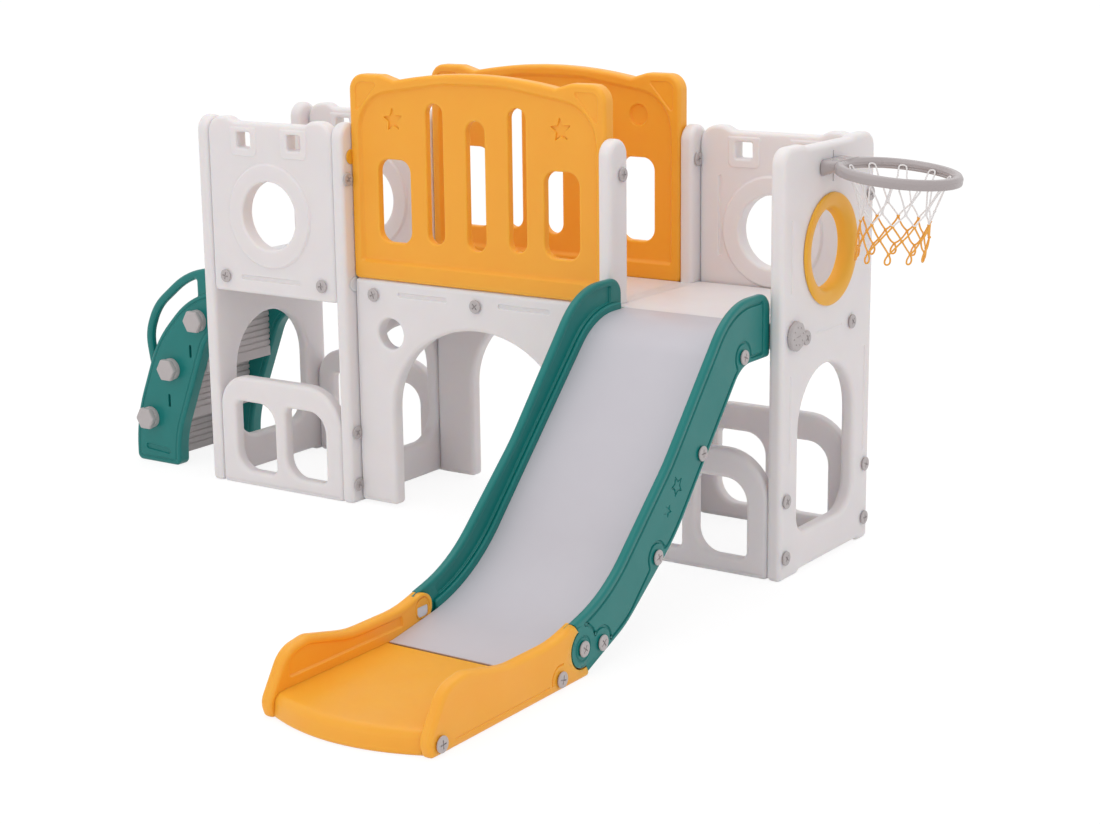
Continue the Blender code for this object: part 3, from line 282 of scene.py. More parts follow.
def rim_steps(rim, count):
    """(inset, drop) down a rounded rim, from the plate's side to its flat face."""
    turns = [math.pi / 2 * k / count for k in range(1, count + 1)]
    steps = [(rim * (1 - math.cos(turn)), rim * (1 - math.sin(turn))) for turn in turns]
    return steps + [(rim + 0.0016, 0.0)]


def relief(loop, slope, lift, holes=(), inner=()):
    """A raised or sunk field of a plate, with the plate's holes that lie in it."""
    return {"loop": counterclockwise(loop), "slope": slope, "lift": lift, "holes": list(holes),
            "inner": list(inner)}


def lifts(reliefs, base, found):
    """How far each hole's mouth is lifted by the fields round it."""
    for field in reliefs:
        for hole in field["holes"]:
            found[hole] = base + field["lift"]
        lifts(field["inner"], base + field["lift"], found)
    return found


def fill_face(bm, edges, reliefs, height, side, place, hole_edges):
    """Fills one face of a plate round its reliefs, and each relief in turn."""
    edges = list(edges)
    for field in reliefs:
        line = contour(bm, field["loop"], height, place)
        edges += line
        for t in (0.2, 0.4, 0.6, 0.8, 1.0):
            rise = side * field["lift"] * t * t * (3 - 2 * t)
            line = grown(bm, line, field["loop"], max(field["slope"] * t, 0.0001), height + rise, place)
        level = height + side * field["lift"]
        line = grown(bm, line, field["loop"], field["slope"] + 0.0008, level, place)
        for hole in field["holes"]:
            line = line + hole_edges[hole]
        fill_face(bm, line, field["inner"], level, side, place, hole_edges)
    bmesh.ops.triangle_fill(bm, use_beauty=True, edges=edges)


def moulded(outline, holes, thick, rim, front=(), back=(), steps=5, hole_rim=None):
    """A moulded plate from z 0 to its thickness: rounded rims, holes and reliefs on both faces."""
    bm = bmesh.new()
    place = bm.verts.layers.int.new("place")
    front_lifts = lifts(front, 0.0, {})
    back_lifts = lifts(back, 0.0, {})
    front_edges = []
    back_edges = []
    front_holes = {}
    back_holes = {}
    for number, points in enumerate([outline] + list(holes)):
        inward = 1 if number == 0 else -1
        curve = rim if number == 0 or hole_rim is None else hole_rim
        points = counterclockwise(points)
        high = thick + front_lifts.get(number - 1, 0.0)
        low = -back_lifts.get(number - 1, 0.0)
        start = contour(bm, points, (low + high) / 2, place)
        top = grown(bm, start, points, 0.0, high - curve, place)
        under = grown(bm, start, points, 0.0, low + curve, place)
        for inset, drop in rim_steps(curve, steps):
            top = grown(bm, top, points, inset * inward, high - drop, place)
            under = grown(bm, under, points, inset * inward, low + drop, place)
        if number - 1 in front_lifts:
            front_holes[number - 1] = top
        else:
            front_edges += top
        if number - 1 in back_lifts:
            back_holes[number - 1] = under
        else:
            back_edges += under
    fill_face(bm, front_edges, front, thick, 1, place, front_holes)
    fill_face(bm, back_edges, back, 0.0, -1, place, back_holes)
    bmesh.ops.recalc_face_normals(bm, faces=list(bm.faces))
    return bm


def extruded(outline, width):
    """A solid of one outline, from z 0 to its width."""
    bm = bmesh.new()
    place = bm.verts.layers.int.new("place")
    edges = contour(bm, counterclockwise(outline), 0.0, place)
    bmesh.ops.triangle_fill(bm, use_beauty=True, edges=edges)
    out = bmesh.ops.extrude_face_region(bm, geom=list(bm.faces), use_keep_orig=True)["geom"]
    moved = [item for item in out if isinstance(item, bmesh.types.BMVert)]
    bmesh.ops.translate(bm, vec=(0, 0, width), verts=moved)
    bmesh.ops.recalc_face_normals(bm, faces=list(bm.faces))
    return bm


def on_x(x):
    """Places a plate whose outline is (y, z), growing along +X from x."""
    return Matrix(((0, 0, 1, x - CENTRE_X), (1, 0, 0, -CENTRE_Y), (0, 1, 0, 0), (0, 0, 0, 1)))


def on_y(x, y):
    """Places a plate whose outline is (x, z), growing toward the front from y."""
    return Matrix(((1, 0, 0, x - CENTRE_X), (0, 0, -1, y - CENTRE_Y), (0, 1, 0, 0), (0, 0, 0, 1)))


def at(x, y, z, turn=None):
    """Places a piece whose own origin belongs at a point, turned there."""
    placed = Matrix.Translation((x - CENTRE_X, y - CENTRE_Y, z))
    return placed @ turn.to_4x4() if turn else placed


def turned(profile, count):
    """A solid of revolution about the local Z axis from (radius, z) points."""
    bm = bmesh.new()
    verts = [bm.verts.new((radius, 0.0, height)) for radius, height in profile]
    edges = [bm.edges.new((verts[k - 1], verts[k])) for k in range(1, len(verts))]
    edges.append(bm.edges.new((verts[-1], verts[0])))
    bmesh.ops.spin(bm, geom=verts + edges, axis=(0, 0, 1), cent=(0, 0, 0), angle=2 * math.pi,
                   steps=count, use_merge=True)
    bmesh.ops.remove_doubles(bm, verts=list(bm.verts), dist=0.00002)
    bmesh.ops.recalc_face_normals(bm, faces=list(bm.faces))
    return bm


# Materials

def linear(hexed):
    """An sRGB hex colour as linear RGBA."""
    channels = [int(hexed[k:k + 2], 16) / 255 for k in (0, 2, 4)]
    return [c / 12.92 if c <= 0.04045 else ((c + 0.055) / 1.055) ** 2.4 for c in channels] + [1.0]


def add_node(tree, kind, inputs=None, **settings):
    """Adds a node with its settings, values and links."""
    made = tree.nodes.new(kind)
    for name, value in settings.items():
        setattr(made, name, value)
    for name, value in (inputs or {}).items():
        if isinstance(value, bpy.types.NodeSocket):
            tree.links.new(value, made.inputs[name])
        else:
            made.inputs[name].default_value = value
    return made


def new_finish(name):
    """An empty material and its node tree."""
    made = bpy.data.materials.new(name)
    made.use_nodes = True
    made.node_tree.nodes.clear()
    return made, made.node_tree


def moulded_plastic(name, colour, deep, roughness, grain=0.0016, wave=0.09, dent=0.0006, shine=0.45,
                    glow=0.0):
    """Moulded plastic: soft gloss, fine grain of a sand-blasted mould, faint waves where walls shrank.

    The grain is drawn at 1.2 to 1.6 mm, coarser than the real one, so that it shows at this distance."""
    made, tree = new_finish(name)
    where = add_node(tree, "ShaderNodeTexCoord").outputs["Object"]
    sand = add_node(tree, "ShaderNodeTexNoise", {"Vector": where, "Scale": 1 / grain, "Detail": 3.0,
                                                  "Roughness": 0.6})
    waves = add_node(tree, "ShaderNodeTexNoise", {"Vector": where, "Scale": 1 / wave, "Detail": 2.0})
    patches = add_node(tree, "ShaderNodeTexNoise", {"Vector": where, "Scale": 14.0, "Detail": 4.0})
    mix = add_node(tree, "ShaderNodeMix", {0: patches.outputs["Fac"], 6: linear(colour), 7: linear(deep)},
                   data_type="RGBA")
    gloss = add_node(tree, "ShaderNodeMapRange", {"Value": waves.outputs["Fac"], "From Min": 0.3,
                                                  "From Max": 0.7, "To Min": roughness - 0.05,
                                                  "To Max": roughness + 0.06})
    soft = add_node(tree, "ShaderNodeBump", {"Height": waves.outputs["Fac"], "Strength": 1.0,
                                             "Distance": dent})
    fine = add_node(tree, "ShaderNodeBump", {"Height": sand.outputs["Fac"], "Strength": 0.25,
                                             "Distance": 0.00022, "Normal": soft.outputs["Normal"]})
    shader = add_node(tree, "ShaderNodeBsdfPrincipled", {
        "Base Color": mix.outputs[2], "Roughness": gloss.outputs["Result"],
        "Normal": fine.outputs["Normal"], "IOR": 1.52, "Specular IOR Level": shine,
        "Subsurface Weight": glow, "Subsurface Radius": (1.0, 0.72, 0.5), "Subsurface Scale": 0.03})
    add_node(tree, "ShaderNodeOutputMaterial", {"Surface": shader.outputs["BSDF"]})
    return made


def twisted_cord(name, colour):
    """Polyester net cord: matt and a little hairy, with its strands' turns a few millimetres apart."""
    made, tree = new_finish(name)
    where = add_node(tree, "ShaderNodeTexCoord").outputs["Object"]
    turns = add_node(tree, "ShaderNodeTexWave", {"Vector": where, "Scale": 160.0, "Distortion": 2.0},
                     bands_direction="DIAGONAL")
    bump = add_node(tree, "ShaderNodeBump", {"Height": turns.outputs["Fac"], "Strength": 0.4,
                                             "Distance": 0.0004})
    shader = add_node(tree, "ShaderNodeBsdfPrincipled", {
        "Base Color": linear(colour), "Roughness": 0.8, "Normal": bump.outputs["Normal"],
        "Sheen Weight": 0.3, "Sheen Roughness": 0.5})
    add_node(tree, "ShaderNodeOutputMaterial", {"Surface": shader.outputs["BSDF"]})
    return made


# Blow-moulded polyethylene panels: milky, so that light creeps a little way in and softens the edges
WHITE = moulded_plastic("white_blow_moulded_polyethylene", "EAE6E7", "E6E1E2", 0.44, glow=0.5)
# The same plastic dyed orange: warm where its walls throw light at each other
ORANGE = moulded_plastic("orange_blow_moulded_polyethylene", "FAB132", "F7A92B", 0.42, glow=0.4)
# Dyed through with dark green: opaque, with a clear thin light along its rims
GREEN = moulded_plastic("green_blow_moulded_polyethylene", "077B77", "057470", 0.34, shine=0.36)
# The slide's bed, from a smoother tool: an even pale sheet with hardly a dent
PALE = moulded_plastic("pale_grey_smooth_moulded_polyethylene", "CAC7CE", "C7C3CB", 0.40, dent=0.0003)
# Injection-moulded polypropylene caps and nuts: a finer grain and a duller face
GREY = moulded_plastic("grey_injection_moulded_polypropylene", "BDB6B6", "B7B0B0", 0.46, grain=0.0012)
# The ribbed treads: the same plastic as the caps, painted a shade lighter. This is painted light that
# brightens them where they sit in the ladder's shade.
TREAD_GREY_PAINTED_LIGHT = moulded_plastic("grey_polypropylene_painted_lighter_for_shade", "CCC5C5", "C6BFBF", 0.46)
# Polypropylene from a polished tool: darker and shinier than the caps, with a sharp streak of light
HOOP_GREY = moulded_plastic("polished_injection_moulded_polypropylene", "B0A7A7", "AAA1A1", 0.30, shine=0.6)
WHITE_CORD = twisted_cord("white_polyester_cord", "EFECEC")
ORANGE_CORD = twisted_cord("orange_polyester_cord", "F6AE3E")


def piece(name, bm, finish, placed, nodes=(), body="playset"):
    """Puts a finished piece in its place on its body."""
    bmesh.ops.transform(bm, matrix=placed, verts=list(bm.verts))
    mesh = bpy.data.meshes.new(name)
    bm.to_mesh(mesh)
    bm.free()
    mesh.materials.append(finish)
    mesh.shade_smooth()
    mesh.set_sharp_from_angle(angle=CREASE)
    made = bpy.data.objects.new(name, mesh)
    bpy.context.collection.objects.link(made)
    steady = made.modifiers.new("steady shading", "WEIGHTED_NORMAL")
    steady.weight = 60
    steady.keep_sharp = True
    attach(made, body)
    if nodes:
        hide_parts(*nodes)
    return made


# Tall panels

def foot_corners():
    """A tall panel's low edge: two feet with a shallow arch between them."""
    return [(0.0, 0.0, 0.015), (0.100, 0.0, 0.014), (0.112, 0.008, 0.004),
            (DEPTH - 0.062, 0.008, 0.004), (DEPTH - 0.050, 0.0, 0.014), (DEPTH, 0.0, 0.015)]


def doorway_outline():
    """Two round-topped posts over a doorway's panel."""
    crown = POST_W / 2
    floor = DECK_TOP - RAIL_SEAT
    return rounded(foot_corners() + [
        (DEPTH, POST_TOP, crown), (DEPTH - POST_W, POST_TOP, crown), (DEPTH - POST_W, floor, 0.014),
        (POST_W, floor, 0.014), (POST_W, POST_TOP, crown), (0.0, POST_TOP, crown)])


def doorway_hole():
    """The crawl opening with its round arch."""
    side = POST_W + 0.002
    arch = (DEPTH - 2 * side) / 2
    return rounded([(side, 0.113, 0.080), (DEPTH - side, 0.113, 0.080), (DEPTH - side, 0.485, arch),
                    (side, 0.485, arch)])


def end_outline():
    """The closed panel under the hoop, with a low dip along its top."""
    top = POST_TOP + 0.006
    dip = POST_TOP - 0.001
    return rounded(foot_corners() + [
        (DEPTH, top, 0.045), (DEPTH - 0.110, top, 0.030), (DEPTH - 0.130, dip, 0.030),
        (0.130, dip, 0.030), (0.110, top, 0.030), (0.0, top, 0.045)])


def crossed(u, v, tall, wide, half):
    """A cross's outline, from its arms' reach up and across and half their width."""
    corners = [(half, half), (half, tall), (-half, tall), (-half, half), (-wide, half), (-wide, -half),
               (-half, -half), (-half, -tall), (half, -tall), (half, -half), (wide, -half), (wide, half)]
    return [Vector((u + x, v + y)) for x, y in corners]


def end_door():
    """The end panel's opening, with one corner tighter than the other."""
    side = 0.095
    low = 0.107
    high = 0.529
    return rounded([(side, low, 0.050), (DEPTH - side, low, 0.080), (DEPTH - side, high, 0.155),
                    (side, high, 0.155)])


def tall_panels():
    """Three doorway panels with their sills, and the end panel with its bore and the hoop's slot."""
    for name, x in (("ladder_end_panel", 0.0), ("bridge_panel_left", LEFT_END - PANEL_T),
                    ("bridge_panel_right", RIGHT_START)):
        bm = moulded(doorway_outline(), [doorway_hole()], PANEL_T, TALL_RIM)
        piece(name + "_moulding", bm, WHITE, on_x(x), [name])
        inside = box_loop(x - CLEARANCE, POST_W + 0.002, x + PANEL_T + CLEARANCE, DEPTH - POST_W - 0.002,
                          0.002)
        cover = moulded(inside, [], SILL_T, 0.0006, steps=2)
        piece(name + "_sill", cover, WHITE, at(0.0, 0.0, DECK_TOP - SILL_T))
    bore = round_loop(MID_Y, RING_Z, 0.1125, 72)
    marks = [relief(slot_loop(y, z, length, 0.012, UPRIGHT), 0.003, -0.003)
             for y, z, length in ((0.044, 0.834, 0.186), (0.046, 0.420, 0.226), (0.460, 0.395, 0.292))]
    marks.append(relief(slot_loop(MID_Y, 0.619, 0.150, 0.008), 0.002, -0.0012))
    bm = moulded(end_outline(), [end_door(), bore], PANEL_T, TALL_RIM, front=marks)
    made = piece("hoop_end_panel_moulding", bm, WHITE, on_x(END_INNER), ["hoop_end_panel"])
    slot = extruded(crossed(MID_Y + 0.010, HOOK_Z, 0.0395, 0.0235, 0.0030), PANEL_T + 0.010)
    combined(made, slot, on_x(END_INNER - 0.005), "DIFFERENCE")


# Panels across the towers

def upper_panel(right_tower):
    """A window in its raised ring, and two square grips on raised pads under an ear at each side."""
    left = CLEARANCE
    right = TOWER_GAP - CLEARANCE
    low = DECK_TOP - 0.081
    dip = POST_TOP - 0.013
    outline = rounded([
        (left, low, 0.012), (right, low, 0.012), (right, POST_TOP, 0.050),
        (right - 0.075, POST_TOP, 0.030), (right - 0.100, dip, 0.030), (left + 0.100, dip, 0.030),
        (left + 0.075, POST_TOP, 0.030), (left, POST_TOP, 0.050)])
    middle = TOWER_GAP / 2
    window_u = middle - 0.006
    window_z = 0.820
    window = round_loop(window_u, window_z, 0.100, 72)
    ring = relief(round_loop(window_u, window_z, 0.155, 72), 0.008, 0.006, holes=[0])
    holes = [window]
    front = [ring]
    for number, side in enumerate((-1, 1)):
        u = middle + side * 0.0945
        z = POST_TOP - 0.064
        low_pad = z - 0.0485
        high_pad = z + 0.0385
        holes.append(box_loop(u - 0.025, z - 0.0225, u + 0.025, z + 0.0225, 0.006))
        pad = rounded([(u - 0.050, low_pad, 0.018), (u + 0.050, low_pad, 0.018),
                       (u + 0.050, high_pad, 0.006), (u - 0.050, high_pad, 0.006)])
        front.append(relief(pad, 0.005, 0.003, holes=[number + 1]))
    front.append(relief(slot_loop(0.222, 0.634, 0.230, 0.016), 0.003, -0.004))
    if right_tower:
        front.append(relief(slot_loop(0.065, 0.855, 0.226, 0.014, UPRIGHT), 0.003, -0.003))
    return moulded(outline, holes, CROSS_T, 0.010, front=front, hole_rim=0.007)


def lower_panel():
    """A low panel with two windows, each with two large and two small corners."""
    left = CLEARANCE
    right = TOWER_GAP - CLEARANCE
    outline = rounded([(left, 0.0, 0.012), (right, 0.0, 0.012), (right, 0.331, 0.130),
                       (left, 0.331, 0.095)])
    low = 0.045
    high = 0.255
    holes = [rounded([(start, low, 0.062), (start + 0.151, low, 0.020), (start + 0.151, high, 0.062),
                      (start, high, 0.020)]) for start in (0.0585, 0.0585 + 0.193)]
    return moulded(outline, holes, CROSS_T, 0.012)


def cross_panels():
    """Low panels in both towers, and upper ones everywhere but over the slide."""
    front = CROSS_INSET + CROSS_T
    rear = DEPTH - CROSS_INSET
    upper = (("left_front", LEFT_INNER, front), ("left_rear", LEFT_INNER, rear),
             ("right_rear", RIGHT_INNER, rear))
    for name, x, y in upper:
        node = "upper_panel_" + name
        piece(node + "_moulding", upper_panel(x == RIGHT_INNER), WHITE, on_y(x, y), [node])
    lower = upper[:2] + (("right_front", RIGHT_INNER, front),) + upper[2:]
    for name, x, y in lower:
        node = "lower_panel_" + name
        piece(node + "_moulding", lower_panel(), WHITE, on_y(x, y), [node])


# Bridge

def arch_panel():
    """The bridge's side below the deck: a crawl arch, a round port and two long grooves."""
    half = BRIDGE_GAP / 2 - CLEARANCE
    top = DECK_TOP - RAIL_SEAT - CLEARANCE
    low = 0.008
    span = 0.294
    corners = [(-half, low, 0.012), (-span, low, 0.012)]
    for k in range(33):
        angle = math.pi * (1 - k / 32)
        corners.append((span * math.cos(angle), 0.290 + 0.256 * math.sin(angle), 0.0))
    corners += [(span, low, 0.012), (half, low, 0.012), (half, top, 0.012), (-half, top, 0.012)]
    port = round_loop(-0.301, 0.510, 0.044, 40)
    grooves = [relief(slot_loop(u, 0.625, 0.175, 0.016), 0.003, -0.004) for u in (-0.185, 0.160)]
    return moulded(rounded(corners), [port], BRIDGE_T, 0.012, front=grooves, hole_rim=0.008)


def rail_outline():
    """A rail's arc between its two ears."""
    half = BRIDGE_GAP / 2 - CLEARANCE * 2
    low = DECK_TOP - RAIL_SEAT
    top = low + RAIL_H
    ear = top - 0.011
    notch = 0.268
    arc_r = (notch ** 2 + 0.025 ** 2) / 0.050
    corners = [(-half, low, 0.014), (half, low, 0.014), (half, ear, 0.045), (half - 0.108, ear, 0.030)]
    for k in range(25):
        along = notch * (1 - k / 12)
        corners.append((along, top - arc_r + math.sqrt(arc_r ** 2 - along ** 2), 0.0))
    corners += [(0.108 - half, ear, 0.030), (-half, ear, 0.045)]
    return rounded(corners)


def rail_field():
    """The sunk field inside a rail's rim."""
    reach = BRIDGE_GAP / 2 - CLEARANCE * 2 - 0.024
    low = DECK_TOP - RAIL_SEAT
    top = low + RAIL_H - 0.023
    return rounded([(-reach, low + 0.046, 0.014), (reach, low + 0.046, 0.014), (reach, top - 0.044, 0.120),
                    (0.10, top, 0.300), (-0.10, top, 0.300), (-reach, top - 0.044, 0.120)])


def rail_holes():
    """Two windows and three slits."""
    low = DECK_TOP - RAIL_SEAT
    holes = []
    for u, width, bottom, top, radius in (
            (-0.280, 0.112, 0.108, 0.341, 0.036), (0.280, 0.112, 0.108, 0.341, 0.036),
            (-0.1375, 0.057, 0.114, 0.501, 0.0284), (0.1375, 0.057, 0.114, 0.501, 0.0284),
            (0.0, 0.062, 0.106, 0.460, 0.0309)):
        holes.append(box_loop(u - width / 2, low + bottom, u + width / 2, low + top, radius))
    return holes


def rail(front):
    """A rail with fields on both faces: stars on the front one, a round recess on the rear one."""
    if front:
        marks = [relief(star_loop(u, 1.113, 0.037, 0.08, 0.44), 0.0024, -0.0045) for u in (-0.279, 0.279)]
    else:
        marks = [relief(round_loop(0.285, 1.120, 0.032, 40), 0.006, -0.009)]
    field = relief(rail_field(), 0.012, -0.010, holes=range(5), inner=marks)
    rear_field = relief(rail_field(), 0.012, -0.010, holes=range(5))
    ears = []
    top = DECK_TOP - RAIL_SEAT + RAIL_H - 0.030
    for side in (-1, 1):
        edge = side * (BRIDGE_GAP / 2 - 0.021)
        ears.append(relief(rounded([(edge, top - 0.095, 0.008), (edge - side * 0.086, top, 0.008),
                                    (edge, top, 0.026)][::side]), 0.004, -0.003))
    return moulded(rail_outline(), rail_holes(), BRIDGE_T, 0.010, front=[field] + ears, back=[rear_field],
                   hole_rim=0.005)


def bridge():
    """Arch panels, rails, and the caps on the rails' pins."""
    front = BRIDGE_INSET + BRIDGE_T
    rear = DEPTH - BRIDGE_INSET
    for side, y in (("front", front), ("rear", rear)):
        piece("arch_panel_" + side + "_moulding", arch_panel(), WHITE, on_y(BRIDGE_MID, y),
              ["arch_panel_" + side])
        piece("rail_" + side + "_moulding", rail(side == "front"), ORANGE,
              on_y(BRIDGE_MID, y), ["rail_" + side])
    for number, (y, z, finish, slot) in enumerate((
            (0.040, 1.005, ORANGE, "orange"), (0.040, 0.643, WHITE, "white"),
            (0.460, 1.005, ORANGE, "orange"), (0.460, 0.643, WHITE, "white"))):
        plug = moulded(round_loop(0.0, 0.0, 0.021, 40), [], 0.004, 0.0022, steps=4)
        piece("rail_plug_%d" % (number + 1), plug, finish, at(LEFT_END, y, z, FACING_HOOP))


def decks():
    """Three plates between the panels."""
    cross_in = CROSS_INSET + CROSS_T + DECK_EDGE_GAP
    bridge_in = BRIDGE_INSET + BRIDGE_T + CLEARANCE
    front = SLIDE_BACK + CLEARANCE
    for name, x, width, y0, y1 in (
            ("deck_left", LEFT_INNER, TOWER_GAP, cross_in, DEPTH - cross_in),
            ("deck_bridge", LEFT_END, BRIDGE_GAP, bridge_in, DEPTH - bridge_in),
            ("deck_right", RIGHT_INNER, TOWER_GAP, front, DEPTH - cross_in)):
        bm = moulded(box_loop(CLEARANCE, y0, width - CLEARANCE, y1, 0.003), [], DECK_T, 0.0009, steps=2)
        piece(name + "_moulding", bm, WHITE, at(x, 0.0, DECK_TOP - DECK_T), [name])


# Slide

def sunk(corner, tilt, turn, drop):
    """A corner of the bed moved down across both of its slopes by drop."""
    return corner + Vector((math.sin(tilt), -math.cos(tilt))) * drop / math.cos(turn)


def bed_corners(drop):
    """The bed's path in side view, drop under its surface."""
    head = sunk(HEAD_AT, SLOPE / 2, SLOPE / 2, drop)
    bend = sunk(BEND_AT, (SLOPE + RUNOUT) / 2, (SLOPE - RUNOUT) / 2, drop)
    low = sunk(EXIT_AT, RUNOUT / 2, RUNOUT / 2, drop)
    return [(SLIDE_BACK, DECK_TOP - drop, 0.0), (head.x, head.y, 0.210 - drop),
            (bend.x, bend.y, 0.500 + drop), (low.x, low.y, 0.300), (TOE_Y, EXIT_Z - drop, 0.0)]


def split_line(points, where):
    """Parts of an open line on both sides of the plane y = where."""
    near = []
    far = []
    for before, after in zip(points, points[1:]):
        if before.x >= where:
            near.append(before)
        if before.x >= where > after.x:
            crossing = before.lerp(after, (before.x - where) / (before.x - after.x))
            near.append(crossing)
            far.append(crossing)
        if after.x < where:
            far.append(after)
    return near, far


def wall_top():
    """A side wall's top edge, from the deck to the run-out."""
    return [(SLIDE_BACK, DECK_TOP + WALL_RISE, 0.045), (HEAD_Y - 0.053, DECK_TOP + WALL_RISE, 0.220),
            (BEND_AT.x + 0.208, BEND_Z + 0.311, 0.600), (BEND_AT.x - 0.062, BEND_Z + 0.066, 0.400),
            (EXIT_AT.x + 0.045, EXIT_Z + RIM_RISE, 0.300)]


def wall_under():
    """A side wall's low edge, from the floor to the deck."""
    return [(EXIT_AT.x + 0.150, 0.0, 0.030), (BEND_AT.x + 0.018, BEND_Z - 0.034, 0.300),
            (BEND_AT.x + 0.238, BEND_Z + 0.121, 0.500), (HEAD_Y + 0.001, DECK_TOP - WALL_DROP, 0.100),
            (SLIDE_BACK, DECK_TOP - WALL_DROP, 0.012)]


def toe_rim():
    """A toe wall's top edge, with the rise at its end and its front."""
    return [(EXIT_AT.x + 0.045, EXIT_Z + RIM_RISE, 0.300), (EXIT_AT.x - 0.135, EXIT_Z + RIM_RISE, 0.300),
            (TOE_Y + 0.085, EXIT_Z + 0.097, 0.060), (TOE_Y + 0.010, EXIT_Z + 0.086, 0.075),
            (TOE_Y - 0.056, 0.036, 0.040), (TOE_Y - 0.042, 0.0, 0.012)]


def rim_height(where):
    """Height of the walls' top edge over a point of the floor."""
    line = bent_line([(SLIDE_BACK, DECK_TOP + WALL_RISE, 0.0)] + wall_top()[1:] + toe_rim()[1:3])
    return split_line(line, where)[0][-1].y


def green_outline():
    """The green wall, a little past the joint, where it is cut to its knuckle."""
    past = JOINT_Y - 0.040
    step = math.radians(4)
    top = bent_line([(SLIDE_BACK, DECK_TOP, 0.0)] + wall_top()
                    + [(past - 0.1, EXIT_Z + RIM_RISE, 0.0)], step)
    top = split_line(top, past)[0]
    top[-1].y = rim_height(past)
    under = rounded([(past, 0.0, 0.0)] + wall_under()
                    + [(SLIDE_BACK, DECK_TOP, 0.0), (past, DECK_TOP, 0.0)], step)
    under = [point for point in under if point.y < DECK_TOP - 0.02 and point.x > past + 0.001]
    return tidy(top + [Vector((past, 0.0))] + under)


def orange_outline():
    """The toe wall, a little past the joint on the slide's side."""
    edge = JOINT_Y + 0.085
    line = bent_line([(edge, rim_height(edge), 0.0), (JOINT_Y, rim_height(JOINT_Y), 0.2)] + toe_rim()
                     + [(EXIT_AT.x, 0.0, 0.0)], math.radians(6))
    return tidy(line + [Vector((edge, 0.0))])


def arc(centre, radius, start, end, count=20):
    """Points of an arc between two angles in degrees."""
    turns = [math.radians(start + (end - start) * k / count) for k in range(count + 1)]
    return [centre + Vector((math.cos(turn), math.sin(turn))) * radius for turn in turns]


def disc_edge(gap):
    """Joint on the outer half: above, round the green disc, and under it."""
    above = JOINT_Y - 0.015 - gap / 3
    below = JOINT_Y + 0.046
    return ([Vector((above, 0.300)), Vector((above, 0.146)), Vector((JOINT_Y + 0.003 - gap, 0.126))]
            + arc(KNUCKLE, 0.0445 + gap, 113, 286)
            + [Vector((below, 0.014 - gap / 2)), Vector((below, -0.050))])


def tab_edge(gap):
    """Joint on the inner half: above, round the orange tab, and down behind the bed."""
    above = JOINT_Y - 0.051 + gap
    return ([Vector((above, 0.300)), Vector((above, 0.162)), Vector((JOINT_Y - 0.033 + gap, 0.136))]
            + arc(TAB, 0.0360 + gap, 122, -58) + [Vector((JOINT_Y + 0.015 + gap, -0.050))])


def toward(edge, side):
    """Everything on one side of a joint: -1 for the toe's side, 1 for the slide's."""
    far = JOINT_Y + side * 0.200
    return counterclockwise(edge + [Vector((far, edge[-1].y)), Vector((far, edge[0].y))])


def dodged(loop, centre, radius):
    """The loop led round a boss, on the inner side."""
    inside = [(point - centre).length < radius for point in loop]
    if not any(inside):
        return loop
    start = next(k for k in range(len(loop)) if not inside[k] and inside[(k + 1) % len(loop)])
    loop = loop[start:] + loop[:start]
    inside = inside[start:] + inside[:start]
    last = next(k for k in range(1, len(loop)) if not inside[k] and inside[k - 1])
    entry = loop[0] - centre
    leave = loop[last] - centre
    first = math.degrees(math.atan2(entry.y, entry.x))
    sweep = (math.degrees(math.atan2(leave.y, leave.x)) - first) % 360
    across = leave - entry
    for turn in (sweep, sweep - 360):
        middle = arc(centre, radius, first, first + turn, 2)[1] - loop[0]
        if across.x * middle.y - across.y * middle.x > 0:
            return [loop[0]] + arc(centre, radius, first, first + turn, 16) + loop[last:]
    return loop


def wall_band(top_inset, low_inset, deck_end, toe_end):
    """The green wall's top and low edges moved inward, from a deck end to a toe end."""
    step = math.radians(3)
    top = bent_line([(SLIDE_BACK, DECK_TOP + WALL_RISE, 0.0)] + wall_top()[1:]
                    + [(JOINT_Y - 0.2, EXIT_Z + RIM_RISE, 0.0)], step)
    under = bent_line([(EXIT_AT.x + 0.150, 0.0, 0.0)] + wall_under()[1:-1]
                      + [(SLIDE_BACK, DECK_TOP - WALL_DROP, 0.0)], step)
    top = split_line(beside(top, top_inset), deck_end)[1]
    under = split_line(beside(under, low_inset)[::-1], deck_end)[1][::-1]
    return [point for point in top if point.x > toe_end], [point for point in under if point.x > toe_end]


def beside_bed(lift, deck_end, toe_end):
    """A line along the bed's surface, lifted across itself."""
    line = beside(bent_line(bed_corners(0.0), math.radians(3)), -lift)
    return [point for point in split_line(line, deck_end)[1] if point.x > toe_end]


def outer_marks():
    """Rim groove of a green wall's outer face, round its bosses, with two stars."""
    top, under = wall_band(0.015, 0.011, -0.018, JOINT_Y + 0.030)
    low_bolt = slide_bolts()[3]
    bosses = arc(KNUCKLE, 0.050, 88, 15) + arc(low_bolt, 0.034, 150, -15)
    loop = counterclockwise(top + bosses + [point for point in under if point.x > low_bolt.x + 0.040])
    for spot in slide_bolts()[:3]:
        loop = dodged(loop, spot, 0.033)
    loop = softened(loop, 0.005, 4)
    middle = relief(star_loop(STAR_AT.x, STAR_AT.y, 0.0205, 0.3, 0.5), 0.0010, 0.0026)
    large = relief(star_loop(STAR_AT.x, STAR_AT.y, 0.029, 0.3, 0.5), 0.0014, -0.0026, inner=[middle])
    small = relief(star_loop(STAR_AT.x - 0.041, STAR_AT.y - 0.051, 0.018, 0.6, 0.5), 0.0012, -0.0024)
    face = relief(shifted(loop, 0.0062), 0.003, 0.0042, inner=[large, small])
    boss = relief(round_loop(KNUCKLE.x, KNUCKLE.y, 0.0270), 0.0022, 0.0025)
    ring = relief(round_loop(KNUCKLE.x, KNUCKLE.y, 0.0315), 0.0022, -0.0025, inner=[boss])
    return [relief(loop, 0.002, -0.0042, inner=[face]), ring]


